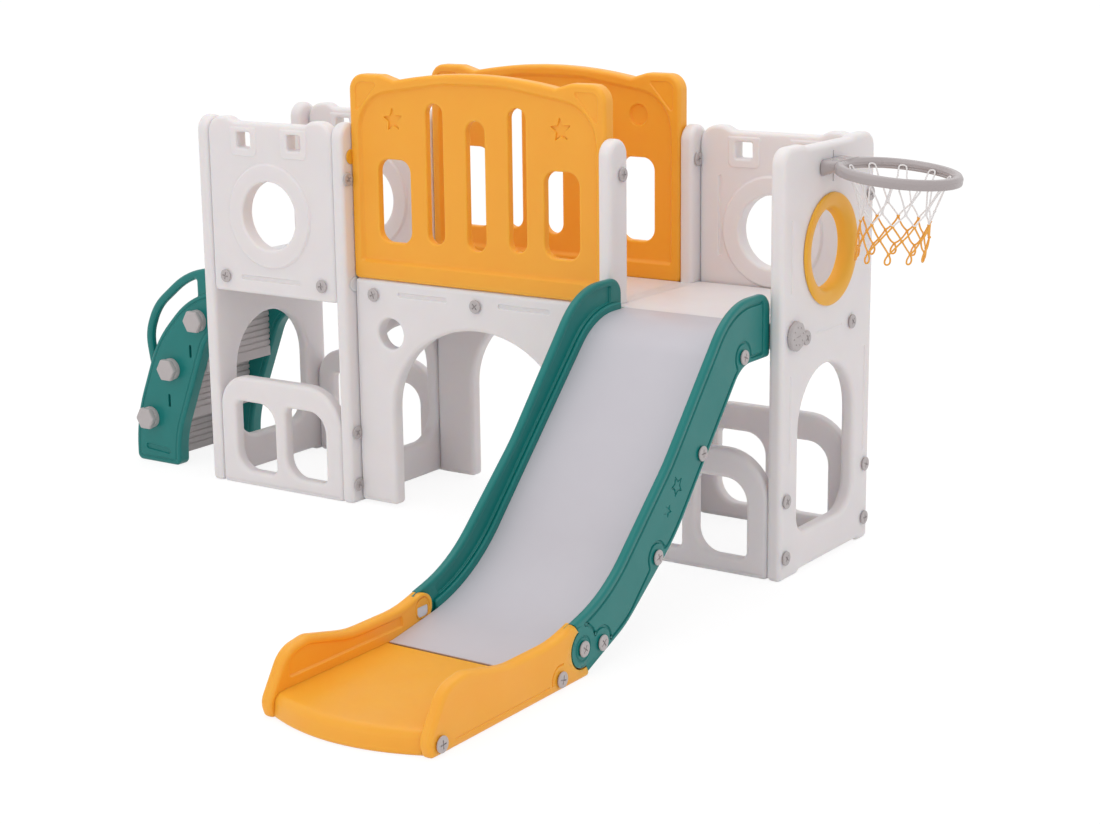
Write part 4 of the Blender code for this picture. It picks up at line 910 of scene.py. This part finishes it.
def inner_marks():
    """Sunk field of a green wall's inner face, over the bead that runs beside the bed."""
    deck_end = -0.034
    toe_end = JOINT_Y + 0.050
    top = wall_band(0.015, 0.012, deck_end, toe_end)[0]
    low = beside_bed(0.020, deck_end, toe_end)
    return [relief(softened(counterclockwise(top + low[::-1]), 0.005, 3), 0.003, -0.0060)]


def bead_outline():
    """Rounded bead of a green wall, beside the bed."""
    high, low = [beside_bed(lift, 0.002, JOINT_Y + 0.048) for lift in (0.0185, -0.0200)]
    return softened(counterclockwise(high + low[::-1]), 0.006, 2)


def toe_marks(outer):
    """An orange wall's outer face has a crescent and a groove; its inner one a field and a ringed nut."""
    if outer:
        bolt = slide_bolts()[5]
        crescent = arc(bolt, 0.0370, 70, 192) + arc(bolt, 0.0310, 192, 70)
        start = TOE_Y + 0.035
        end = bolt.x - 0.044
        low = 0.0175
        high = 0.0235
        groove = [Vector(corner) for corner in ((start, low), (end, low), (end, high), (start, high))]
        return [relief(crescent, 0.002, -0.0034), relief(groove, 0.002, -0.0016)]
    line = bent_line([(JOINT_Y - 0.02, rim_height(JOINT_Y - 0.02), 0.0)] + toe_rim(), math.radians(4))
    end = JOINT_Y - 0.075
    top = [point for point in beside(line, 0.016) if TOE_Y + 0.010 < point.x < end]
    loop = counterclockwise(top + [Vector((TOE_Y + 0.012, 0.074)), Vector((end, 0.074))])
    hollow = box_loop(TAB.x - 0.020, TAB.y - 0.021, TAB.x + 0.021, TAB.y + 0.006, 0.004)
    seat = relief(hollow, 0.0008, -0.004)
    boss = relief(round_loop(TAB.x, TAB.y, 0.0250, 40), 0.0015, 0.0022, inner=[seat])
    ring = relief(round_loop(TAB.x, TAB.y, 0.0290, 40), 0.002, -0.0022, inner=[boss])
    return [relief(softened(loop, 0.005, 3), 0.006, -0.005), ring]


def combined(target, bm, placed, operation):
    """Cuts or joins a second solid, and keeps the result as the piece's own mesh."""
    bmesh.ops.transform(bm, matrix=placed, verts=list(bm.verts))
    mesh = bpy.data.meshes.new("lap")
    bm.to_mesh(mesh)
    bm.free()
    tool = bpy.data.objects.new("lap", mesh)
    bpy.context.collection.objects.link(tool)
    cut = target.modifiers.new("lap", "BOOLEAN")
    cut.operation = operation
    cut.object = tool
    target.modifiers.move(len(target.modifiers) - 1, 0)
    bpy.context.view_layer.update()
    graph = bpy.context.evaluated_depsgraph_get()
    steady = target.modifiers["steady shading"]
    steady.show_viewport = False
    baked = bpy.data.meshes.new_from_object(target.evaluated_get(graph))
    target.modifiers.remove(cut)
    steady.show_viewport = True
    baked.set_sharp_from_angle(angle=CREASE)
    target.data = baked
    bpy.data.objects.remove(tool)


def slide():
    """The bed, the toe's floor, and at each side a green wall lapped into an orange one."""
    left = RIGHT_INNER + WALL_GAP
    right = WALL_FACE - SLIDE_WALL_T
    bed_left = left + SLIDE_WALL_T + CLEARANCE
    width = right - CLEARANCE - bed_left
    step = math.radians(2)
    top = split_line(bent_line(bed_corners(0.0), step), BED_END + CLEARANCE)[0]
    under = split_line(bent_line(bed_corners(BED_T), step), BED_END + 0.012)[0]
    lip = [top[-1] + Vector((0.0, -0.0024)), top[-1] + Vector((0.0117, -0.0024))]
    bm = extruded(tidy(top + lip + under[::-1]), width)
    piece("slide_bed_sheet", bm, PALE, on_x(bed_left), ["slide_bed"])
    piece("exit_floor_moulding", exit_floor(width), ORANGE, on_x(bed_left), ["exit_floor"])
    # Each wall is two half-thick laps at the joint: a disc outside and a tab inside
    half = SLIDE_WALL_T / 2
    play = 0.0002
    past = 0.0042
    cutter = half + play + past
    bead_t = BEAD_T + 0.003
    for side, x in (("left", left), ("right", right)):
        on_left = side == "left"
        order = 1 if on_left else -1
        inner_low = x + half - play if on_left else x - past
        outer_low = x - past if on_left else x + half - play
        front, back = [inner_marks(), outer_marks()][::order]
        bm = moulded(green_outline(), [], SLIDE_WALL_T - BEAD_T, 0.0075, front, back)
        wall = piece("slide_side_" + side + "_moulding", bm, GREEN,
                     on_x(x if on_left else x + BEAD_T), ["slide_side_" + side])
        bead = moulded(bead_outline(), [], bead_t, 0.0060)
        piece("slide_bead_" + side, bead, GREEN,
              on_x(x + SLIDE_WALL_T - bead_t if on_left else x))
        for edge, low in ((disc_edge(0.0), outer_low), (tab_edge(0.0008), inner_low)):
            combined(wall, extruded(toward(edge, -1), cutter), on_x(low), "DIFFERENCE")
        front, back = [toe_marks(False), toe_marks(True)][::order]
        bm = moulded(orange_outline(), [], SLIDE_WALL_T, 0.0105, front, back)
        toe = piece("exit_side_" + side + "_moulding", bm, ORANGE, on_x(x),
                    ["exit_side_" + side])
        for edge, low in ((disc_edge(0.0042), outer_low), (tab_edge(0.0), inner_low)):
            combined(toe, extruded(toward(edge, 1), cutter), on_x(low), "DIFFERENCE")
        nut = moulded(box_loop(JOINT_Y - 0.0232, 0.0787, JOINT_Y + 0.0162, 0.1043, 0.004), [], 0.004,
                      0.001, steps=3)
        nut_low = x + SLIDE_WALL_T - 0.0050 if on_left else x + 0.0010
        piece("knuckle_nut_" + side, nut, WHITE, on_x(nut_low))


def exit_floor(width):
    """The toe's floor, which dips under the bed's end and bows forward between the walls."""
    step = math.radians(2)
    top = split_line(bent_line(bed_corners(0.0), step), BED_END - 0.009)[1]
    under = split_line(bent_line(bed_corners(0.020), step), BED_END + 0.010)[1]
    level = top[0].y
    dip = [Vector((BED_END + 0.010, level - 0.0095)), Vector((BED_END - 0.0065, level - 0.0095)),
           Vector((BED_END - 0.0080, level - 0.0015))]
    toe = bent_line([(top[-1].x, top[-1].y, 0.0), (TOE_Y - 0.036, 0.053, 0.022),
                     (TOE_Y - 0.042, 0.0, 0.010), (TOE_Y - 0.016, 0.0, 0.0)], math.radians(12))
    bm = extruded(tidy(dip + top[:-1] + toe + under[::-1]), width)
    strips = 28
    for k in range(1, strips):
        everything = list(bm.verts) + list(bm.edges) + list(bm.faces)
        bmesh.ops.bisect_plane(bm, geom=everything, plane_co=(0, 0, width * k / strips),
                               plane_no=(0, 0, 1))
    start = EXIT_AT.x - 0.20
    for vert in bm.verts:
        if vert.co.x < start:
            across = 2 * vert.co.z / width - 1
            share = min(1.0, (start - vert.co.x) / (start - TOE_Y))
            vert.co.x -= EXIT_BOW * share * (1 - across * across)
    bmesh.ops.recalc_face_normals(bm, faces=list(bm.faces))
    return bm


# Ladder

def nut_places():
    """The three nuts on a ladder side: high, middle and low."""
    top = Vector((-LADDER_REACH * 0.235, 0.470))
    low = Vector((-LADDER_REACH * 0.816, 0.143))
    return [top, top.lerp(low, 0.55) + Vector((0.0, 0.017)), low]


def stringer_outline():
    """A ladder side's curved band."""
    reach = LADDER_REACH
    return rounded([
        (-reach, 0.0, 0.020), (-reach + 0.181, 0.0, 0.020), (-reach * 0.507, 0.095, 0.300),
        (-reach * 0.176, 0.405, 0.120), (-CLEARANCE, 0.470, 0.0), (-CLEARANCE, BAND_TOP, 0.0),
        (-reach * 0.373, BAND_BEND, 0.300), (-reach * 0.715, 0.393, 0.400), (-reach, 0.130, 0.500)],
        math.radians(3))


def handrail_outline():
    """The handrail's tube in side view, with the web that joins it to the band at the wall."""
    reach = LADDER_REACH
    radius = HANDRAIL_T / 2
    web = 0.098
    line = bent_line([(-CLEARANCE, 0.628, 0.0), (-reach * 0.373, 0.602, 0.270),
                      (-reach * 0.733, 0.495, 0.180), (-reach * 0.835, 0.405, 0.130),
                      (-reach * 0.800, 0.325, 0.100), (-reach * 0.747, 0.262, 0.0)], math.radians(4))
    outer = beside(line, -radius)
    outer[0].x = -CLEARANCE
    past = split_line(beside(line, radius), -web)[1]
    shoulder = BAND_TOP - (BAND_TOP - BAND_BEND) * web / (reach * 0.373)
    corner = bent_line([(past[1].x, past[1].y, 0.0), (past[0].x, past[0].y, 0.018),
                        (-web, shoulder, 0.018), (-0.138, shoulder - 0.034, 0.0)], math.radians(12))
    return tidy(outer + past[:1:-1] + corner + [Vector((-CLEARANCE, 0.5235))])


def stringer():
    """One side of the ladder, with its rim line and the slots on its face."""
    outline = counterclockwise(stringer_outline())
    line = softened(shifted(outline, 0.011), 0.005, 3)
    slots = [relief(slot_loop(-0.1265, 0.3705, 0.041, 0.010, UPRIGHT), 0.0012, -0.012),
             relief(slot_loop(-0.2245, 0.205, 0.042, 0.010, UPRIGHT), 0.0012, -0.012),
             relief(slot_loop(-0.2825, 0.045, 0.105, 0.020, math.radians(-4)), 0.003, -0.005)]
    face = relief(shifted(line, 0.0058), 0.0022, 0.0022, inner=slots)
    groove = relief(line, 0.0022, -0.0022, inner=[face])
    return moulded(outline, [], LADDER_T, 0.0075, front=[groove])


def tread(nut, rear):
    """A step with a ribbed riser under its rear edge."""
    front = rear - 0.060
    top = 0.028
    riser = 0.168
    pitch = 0.0185
    low = max(-riser, 0.002 - nut.y)
    points = [(front, top, 0.010), (front, top - 0.028, 0.008), (rear - 0.030, top - 0.028, 0.004),
              (rear - 0.030, low, 0.003), (rear, low, 0.003)]
    rib = 0.030 - riser
    for k in range(8):
        if rib > low + 0.008:
            points += [(rear, rib, 0.001), (rear - 0.004, rib + 0.002, 0.001),
                       (rear - 0.004, rib + 0.005, 0.001), (rear, rib + 0.007, 0.001)]
        rib += pitch
    points.append((rear, top, 0.014))
    width = DEPTH - 2 * (LADDER_INSET + LADDER_T + CLEARANCE)
    return moulded(rounded(points, math.radians(20)), [], width, 0.0008, steps=1)


def hex_nut():
    """A hexagon cap on its round collar."""
    count = 72
    hexagon = []
    for k in range(count):
        angle = 2 * math.pi * k / count
        flat = (angle + math.pi / 6) % (math.pi / 3) - math.pi / 6
        edge = math.cos(math.pi / 6) / math.cos(math.pi / 6 - abs(flat))
        hexagon.append(Vector((edge * math.cos(angle), edge * math.sin(angle))))
    hexagon = softened(hexagon, 2 * math.pi / count * 0.95, 1)
    hexagon = sorted(hexagon, key=lambda point: math.atan2(point.y, point.x) % (2 * math.pi))
    collar = round_loop(0.0, 0.0, 1.0, len(hexagon))
    bm = bmesh.new()
    place = bm.verts.layers.int.new("place")
    line = contour(bm, [point * 0.0335 for point in collar], 0.0, place)
    bmesh.ops.triangle_fill(bm, use_beauty=True, edges=line)
    for points, radius, height in ((collar, 0.0335, 0.010), (collar, 0.0325, 0.0125),
                                   (collar, 0.0312, 0.0135), (hexagon, 0.0330, 0.0138),
                                   (hexagon, 0.0362, 0.0152), (hexagon, 0.0370, 0.0172),
                                   (hexagon, 0.0370, 0.0262), (hexagon, 0.0360, 0.0292),
                                   (hexagon, 0.0338, 0.0312), (hexagon, 0.0305, 0.0320),
                                   (hexagon, 0.0200, 0.0320)):
        line = grown(bm, line, [point * radius for point in points], 0.0, height, place)
    bmesh.ops.triangle_fill(bm, use_beauty=True, edges=line)
    bmesh.ops.recalc_face_normals(bm, faces=list(bm.faces))
    return bm


def ladder():
    """Two sides with their handrails, and three treads with a nut at each end."""
    front = LADDER_INSET
    rear = DEPTH - LADDER_INSET
    for side, y in (("front", front + LADDER_T), ("rear", rear)):
        made = piece("ladder_side_" + side + "_moulding", stringer(), GREEN, on_y(0.0, y),
                     ["ladder_side_" + side])
        tube = moulded(handrail_outline(), [], HANDRAIL_T, 0.0105)
        combined(made, tube, on_y(0.0, y - LADDER_T / 2 + HANDRAIL_T / 2), "UNION")
    faces = (("front", front - CLEARANCE, FACING_FRONT), ("rear", rear + CLEARANCE, FACING_BACK))
    for number, (name, nut) in enumerate(zip(("high", "middle", "low"), nut_places())):
        board = tread(nut, -0.012 if number == 0 else 0.016)
        placed = on_y(nut.x, rear - LADDER_T - CLEARANCE) @ Matrix.Translation((0, nut.y, 0))
        # The treads take the cap plastic painted lighter: painted light for the ladder's shade
        piece("tread_" + name + "_board", board, TREAD_GREY_PAINTED_LIGHT, placed, ["tread_" + name])
        for side, y, facing in faces:
            node = "nut_" + side + "_" + name
            piece(node + "_cap", hex_nut(), GREY, at(nut.x, y, nut.y, facing), [node])


# Hoop and net

def hoop():
    """Round ring that droops a little, with a bracket that flares at the wall."""
    outline = rounded([(-0.0110, -0.0130, 0.003), (0.0122, -0.0130, 0.003), (0.0130, 0.0030, 0.006),
                       (0.0075, 0.0128, 0.006), (-0.0060, 0.0128, 0.005), (-0.0125, 0.0040, 0.004),
                       (-0.0125, -0.0030, 0.001), (-0.0100, -0.0055, 0.001), (-0.0125, -0.0080, 0.001)],
                      math.radians(20))
    section = [(HOOP_R + point.x, point.y) for point in outline]
    droop = Matrix.Rotation(HOOP_DROOP, 3, "Y")
    made = piece("hoop_ring", turned(section, 120), HOOP_GREY, at(HOOP_X, MID_Y, HOOP_Z, droop),
                 ["hoop"], body="hoop")
    reach = HOOP_REACH - HOOP_R * math.cos(HOOP_DROOP)
    rise = HOOP_Z + HOOP_R * math.sin(HOOP_DROOP) - HOOK_Z
    bm = bmesh.new()
    place = bm.verts.layers.int.new("place")
    sections = ((CLEARANCE, 0.064, 0.0200, 0.0150), (0.0040, 0.066, 0.0205, 0.0150),
                (0.0120, 0.066, 0.0190, 0.0150), (0.0200, 0.065, 0.0165, 0.0140),
                (0.0300, 0.064, 0.0140, 0.0120), (0.0400, 0.062, 0.0125, 0.0110),
                (0.0500, 0.060, 0.0120, 0.0105))
    line = []
    for depth, wide, high, corner in sections:
        lift = rise * depth / reach
        loop = box_loop(-wide, lift - high, wide, lift + high, corner, math.radians(13))
        if line:
            line = grown(bm, line, loop, 0.0, depth, place)
        else:
            line = contour(bm, loop, depth, place)
            bmesh.ops.triangle_fill(bm, use_beauty=True, edges=line)
    bmesh.ops.triangle_fill(bm, use_beauty=True, edges=line)
    bmesh.ops.recalc_face_normals(bm, faces=list(bm.faces))
    placed = Matrix(((0, 0, 1, END_FACE - CENTRE_X), (1, 0, 0, MID_Y - CENTRE_Y), (0, 1, 0, HOOK_Z),
                     (0, 0, 0, 1)))
    combined(made, bm, placed, "UNION")
    plug = extruded(crossed(0.010, 0.0, 0.0170, 0.0220, 0.0022), 0.035)
    placed.translation.x -= 0.034
    combined(made, plug, placed, "UNION")


def cord_curve(name, runs, thick, finish):
    """Cords of the net as round curves through their points."""
    data = bpy.data.curves.new(name, "CURVE")
    data.dimensions = "3D"
    data.bevel_depth = thick / 2
    data.bevel_resolution = 2
    data.use_fill_caps = True
    data.resolution_u = 4
    for points, closed in runs:
        spline = data.splines.new("NURBS")
        spline.points.add(len(points) - 1)
        for spot, point in zip(spline.points, points):
            spot.co = (point[0] + HOOP_X - CENTRE_X, point[1] + MID_Y - CENTRE_Y, point[2] + HOOP_Z, 1.0)
        spline.use_cyclic_u = closed
        spline.use_endpoint_u = not closed
        spline.order_u = 3
    data.materials.append(finish)
    made = bpy.data.objects.new(name, data)
    bpy.context.collection.objects.link(made)
    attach(made, "hoop")
    return made


def net_point(column, depth):
    """A point of the net at a column round the ring and a depth under it."""
    angle = 2 * math.pi * (column + 0.08) / NET_COLUMNS
    down = min(1.0, max(0.0, depth / NET_DEPTH))
    radius = NET_R + NET_FLARE * max(0.0, 1 - depth / 0.135) ** 2
    droop = radius * math.cos(angle) * math.tan(HOOP_DROOP) * (1 - down)
    x = radius * math.cos(angle) - 0.020 * down * down
    return Vector((x, radius * math.sin(angle), -depth - droop))


def swayed(point, column, amount):
    """A point moved a little off its line, as a slack cord lies."""
    turn = column * 2.399
    return point + Vector((math.sin(turn * 3.1), math.cos(turn * 4.7), math.sin(turn * 5.3))) * amount


def knot(point, size):
    """A small turn of cord round its own line."""
    ring = []
    for k in range(6):
        angle = math.pi * k / 3
        ring.append(point + Vector((math.cos(angle), math.sin(angle), 0.5 * math.sin(angle * 2))) * size)
    return (ring, True)


def net():
    """Knotted net: white loops over hooks inside the ring, orange meshes below."""
    white = []
    orange = []
    # Depths under the ring: its hooks, the first knots, the change of colour, two more rows and the end
    top, first, change, second, third, end = -0.001, 0.088, 0.120, 0.156, 0.190, 0.217
    for k in range(NET_COLUMNS):
        half = k + 0.5
        hook = [net_point(k + turn, top + depth) for turn, depth in (
            (-0.15, 0.026), (-0.14, 0.009), (-0.09, 0.001), (0.09, 0.001), (0.14, 0.009), (0.15, 0.026))]
        white.append((hook, False))
        for side in (-1, 1):
            knotted = net_point(k + 0.5 * side, first)
            down = [net_point(k + 0.15 * side, top + 0.026),
                    swayed(net_point(k + 0.34 * side, first * 0.62), k + side, 0.0024), knotted]
            white.append((down, False))
            bow = [knotted, swayed(net_point(k + 0.27 * side, 0.103), k - side, 0.0032),
                   net_point(k, change)]
            white.append((bow, False))
            knotted = net_point(k + 0.5 * side, second)
            upper = [net_point(k, change), swayed(net_point(k + 0.22 * side, 0.146), half + side, 0.0044),
                     knotted]
            orange.append((upper, False))
            lower = [knotted, swayed(net_point(k + 0.22 * side, 0.186), half - side, 0.0044),
                     net_point(k, third)]
            orange.append((lower, False))
        lobe = [net_point(k + turn, depth) for turn, depth in (
            (0.0, third), (-0.13, third + 0.012), (-0.12, end - 0.003), (0.0, end + 0.001),
            (0.12, end - 0.003), (0.13, third + 0.012), (0.0, third))]
        orange.append((lobe, False))
        white.append(knot(net_point(half, first), 0.0026))
        for column, depth in ((k, change), (half, second), (k, third)):
            orange.append(knot(net_point(column, depth), 0.0028))
    made = cord_curve("net_white_cords", white, 0.0042, WHITE_CORD)
    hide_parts("net")
    cord_curve("net_orange_cords", orange, 0.0046, ORANGE_CORD)


def window_ring():
    """The ring in the end panel's bore, turned from its section."""
    profile = [(0.1000, -0.0300), (0.1115, -0.0300), (0.1120, 0.0004), (0.1440, 0.0004), (0.1455, 0.0020),
               (0.1452, 0.0045), (0.1436, 0.0066), (0.1405, 0.0079), (0.1340, 0.0085), (0.1260, 0.0084),
               (0.1190, 0.0074), (0.1130, 0.0050), (0.1085, 0.0012), (0.1050, -0.0045), (0.1025, -0.0120),
               (0.1008, -0.0210)]
    bm = turned(profile, 96)
    piece("window_ring_moulding", bm, ORANGE, at(END_FACE, MID_Y, RING_Z, FACING_HOOP),
          ["window_ring"])


def knob():
    """Round cap with eight soft lobes and a dimple in each."""
    lobes = 8
    outline = []
    for k in range(96):
        angle = 2 * math.pi * k / 96
        reach = 0.0375 + 0.0009 * math.cos(lobes * angle)
        outline.append(Vector((reach * math.cos(angle), reach * math.sin(angle))))
    marks = []
    for k in range(lobes):
        angle = 2 * math.pi * k / lobes + 0.2
        dimple = round_loop(0.0235 * math.cos(angle), 0.0235 * math.sin(angle), 0.0030, 16)
        marks.append(relief(dimple, 0.0012, -0.0022))
    marks.append(relief(slot_loop(0.0, 0.0, 0.020, 0.0032, math.radians(95)), 0.0008, -0.0016))
    bm = moulded(outline, [], 0.0137, 0.0045, front=marks, steps=6)
    piece("knob_cap", bm, GREY, at(END_FACE, 0.061, 0.633, FACING_HOOP), ["knob"])


# Bolts

def bolt_cap(turn):
    """Cross-head cap on a narrower neck, so that a thin shadow rings it."""
    spun = Matrix.Rotation(turn, 2)
    arm = 0.0105
    mark = [spun @ corner for corner in crossed(0.0, 0.0, arm, arm, 0.0017)]
    cross = relief(mark, 0.0004, -0.0038)
    bm = moulded(round_loop(0.0, 0.0, 0.0188), [], 0.0052, 0.0024, front=[cross], steps=4)
    bmesh.ops.translate(bm, vec=(0.0, 0.0, 0.0014), verts=list(bm.verts))
    place = bm.verts.layers.int["place"]
    neck = round_loop(0.0, 0.0, 0.0150, 24)
    line = contour(bm, neck, 0.0, place)
    bmesh.ops.triangle_fill(bm, use_beauty=True, edges=line)
    line = grown(bm, line, neck, 0.0, 0.0030, place)
    bmesh.ops.triangle_fill(bm, use_beauty=True, edges=line)
    bmesh.ops.recalc_face_normals(bm, faces=list(bm.faces))
    return bm


def slide_bolts():
    """The bolts' places on the slide's outer wall, from the deck to the toe."""
    slope = (HEAD_AT - BEND_AT).normalized()
    across = Vector((slope.y, -slope.x))
    return [HEAD_AT + Vector((0.005, -0.061)), BEND_AT + slope * 0.466 + across * 0.042,
            BEND_AT + slope * 0.176 + across * 0.041, BEND_AT + Vector((-0.087, -0.042)), KNUCKLE,
            EXIT_AT + Vector((0.063, -0.028)), EXIT_AT + Vector((-EXIT_RUN - 0.014, -0.029))]


def bolts():
    """All the bolt caps; the last five are seen in the photograph but have no solid of their own."""
    deck_z = DECK_TOP - 0.050
    rear = DEPTH - 0.028
    ends = ((0.028, 0.211), (0.028, 0.061), (rear, 0.211), (rear, 0.061), (rear, 0.943),
            (MID_Y - 0.127, deck_z), (MID_Y + 0.127, deck_z))
    spots = [("bolt_end_%d" % number, (END_FACE, y, z), FACING_HOOP)
             for number, (y, z) in enumerate(ends, 1)]
    spots += [("bolt_slide_%d" % number, (WALL_FACE, spot.x, spot.y), FACING_HOOP)
              for number, spot in enumerate(slide_bolts(), 1)]
    for number, shift in enumerate((-1, 0, 1), 1):
        x = BRIDGE_MID + shift * (BRIDGE_GAP / 2 - 0.069)
        spots.append(("bolt_arch_%d" % number, (x, BRIDGE_INSET, deck_z), FACING_FRONT))
    for number, shift in enumerate((-1, 1), 1):
        x = LEFT_INNER + TOWER_GAP / 2 + shift * (TOWER_GAP / 2 - 0.050)
        spots.append(("bolt_tower_%d" % number, (x, CROSS_INSET, deck_z + 0.015), FACING_FRONT))
    in_frame = len(spots)
    spots += [("bolt_left_%d" % number, (LEFT_END, y, z), FACING_HOOP)
              for number, (y, z) in enumerate(((0.022, 0.943), (0.026, 0.211), (0.026, 0.056)), 1)]
    spots += [("bolt_rail_%d" % number, (RIGHT_INNER, y, 1.007), FACING_HOOP)
              for number, y in enumerate((0.057, 0.441), 1)]
    for number, (name, (x, y, z), facing) in enumerate(spots):
        placed = at(x, y, z, facing) @ Matrix.Translation((0, 0, CLEARANCE))
        piece(name + "_cap", bolt_cap(0.5 + 1.9 * number), GREY, placed,
              [name] if number < in_frame else [])


# Studio

# How bright the floor looks, how much of that is its own light, and the sky's light on the set
BACKDROP = 1.08
FLOOR_GLOW = 0.80
SKY_LIGHT = 0.80


def background_rays(tree):
    """1 for the rays that see the background: from the camera, a gloss or a glass."""
    rays = add_node(tree, "ShaderNodeLightPath")
    seen = add_node(tree, "ShaderNodeMath", {0: rays.outputs["Is Camera Ray"],
                                             1: rays.outputs["Is Glossy Ray"]}, operation="MAXIMUM")
    found = add_node(tree, "ShaderNodeMath", {0: seen.outputs[0], 1: rays.outputs["Is Transmission Ray"]},
                     operation="MAXIMUM")
    return found.outputs[0]


def studio():
    """A white floor and sky that look almost even to the camera, and three soft lamps."""
    floor = bmesh.new()
    bmesh.ops.create_grid(floor, x_segments=1, y_segments=1, size=30.0)
    mesh = bpy.data.meshes.new("floor")
    floor.to_mesh(mesh)
    floor.free()
    made, tree = new_finish("studio_floor")
    shader = add_node(tree, "ShaderNodeBsdfPrincipled", {"Base Color": linear("FCFAFA"), "Roughness": 0.9})
    glow = add_node(tree, "ShaderNodeEmission", {"Color": linear("FFFFFF"), "Strength": BACKDROP})
    share = add_node(tree, "ShaderNodeMath", {0: background_rays(tree), 1: FLOOR_GLOW},
                     operation="MULTIPLY")
    mix = add_node(tree, "ShaderNodeMixShader", {0: share.outputs[0], 1: shader.outputs["BSDF"],
                                                 2: glow.outputs["Emission"]})
    add_node(tree, "ShaderNodeOutputMaterial", {"Surface": mix.outputs["Shader"]})
    mesh.materials.append(made)
    ground = bpy.data.objects.new("floor", mesh)
    ground.location = (0.0, 0.0, -0.0005)
    bpy.context.collection.objects.link(ground)
    world = bpy.data.worlds.new("studio")
    bpy.context.scene.world = world
    world.use_nodes = True
    tree = world.node_tree
    tree.nodes.clear()
    seen = add_node(tree, "ShaderNodeMath", {0: background_rays(tree), 1: 1.0 - SKY_LIGHT, 2: SKY_LIGHT},
                    operation="MULTIPLY_ADD")
    sky = add_node(tree, "ShaderNodeBackground", {"Color": linear("FFFFFF"), "Strength": seen.outputs[0]})
    add_node(tree, "ShaderNodeOutputWorld", {"Surface": sky.outputs["Background"]})
    for name, spot, size, power in (("key", (-0.8, -6.0, 1.5), 4.0, 22.0),
                                    ("fill", (5.6, -2.8, 1.5), 4.0, 8.0),
                                    ("top", (0.3, 0.2, 4.5), 3.5, 42.0)):
        data = bpy.data.lights.new(name, "AREA")
        data.size = size
        data.energy = power
        lamp = bpy.data.objects.new(name, data)
        lamp.location = spot
        lamp.rotation_euler = (Vector((0.0, 0.0, 0.5)) - Vector(spot)).to_track_quat("-Z", "Y").to_euler()
        bpy.context.collection.objects.link(lamp)


# The photograph's camera, from a fit to the set's straight edges
PHOTO_WIDTH = 1100.0
FOCAL_PIXELS = 2185.0
SENSOR = 36.0
CAMERA_AT = (4.4563, -4.7082, 1.7269)


def camera():
    """Long lens, level but for a slight roll."""
    turn = math.radians(34.342)
    dip = math.radians(13.451)
    roll = math.radians(-0.705)
    ahead = Vector((-math.sin(turn) * math.cos(dip), math.cos(turn) * math.cos(dip), -math.sin(dip)))
    right = Vector((math.cos(turn), math.sin(turn), 0.0))
    up = right.cross(ahead)
    right, up = (right * math.cos(roll) + up * math.sin(roll),
                 up * math.cos(roll) - right * math.sin(roll))
    data = bpy.data.cameras.new("photograph")
    data.sensor_width = SENSOR
    data.lens = FOCAL_PIXELS * SENSOR / PHOTO_WIDTH
    made = bpy.data.objects.new("photograph", data)
    pose = Matrix((right, up, -ahead)).transposed().to_4x4()
    pose.translation = (CAMERA_AT[0] - CENTRE_X, CAMERA_AT[1] - CENTRE_Y, CAMERA_AT[2])
    made.matrix_world = pose
    bpy.context.collection.objects.link(made)
    bpy.context.scene.camera = made


tall_panels()
cross_panels()
bridge()
decks()
slide()
ladder()
hoop()
net()
window_ring()
knob()
bolts()
studio()
camera()
bpy.context.scene.view_settings.view_transform = "Standard"
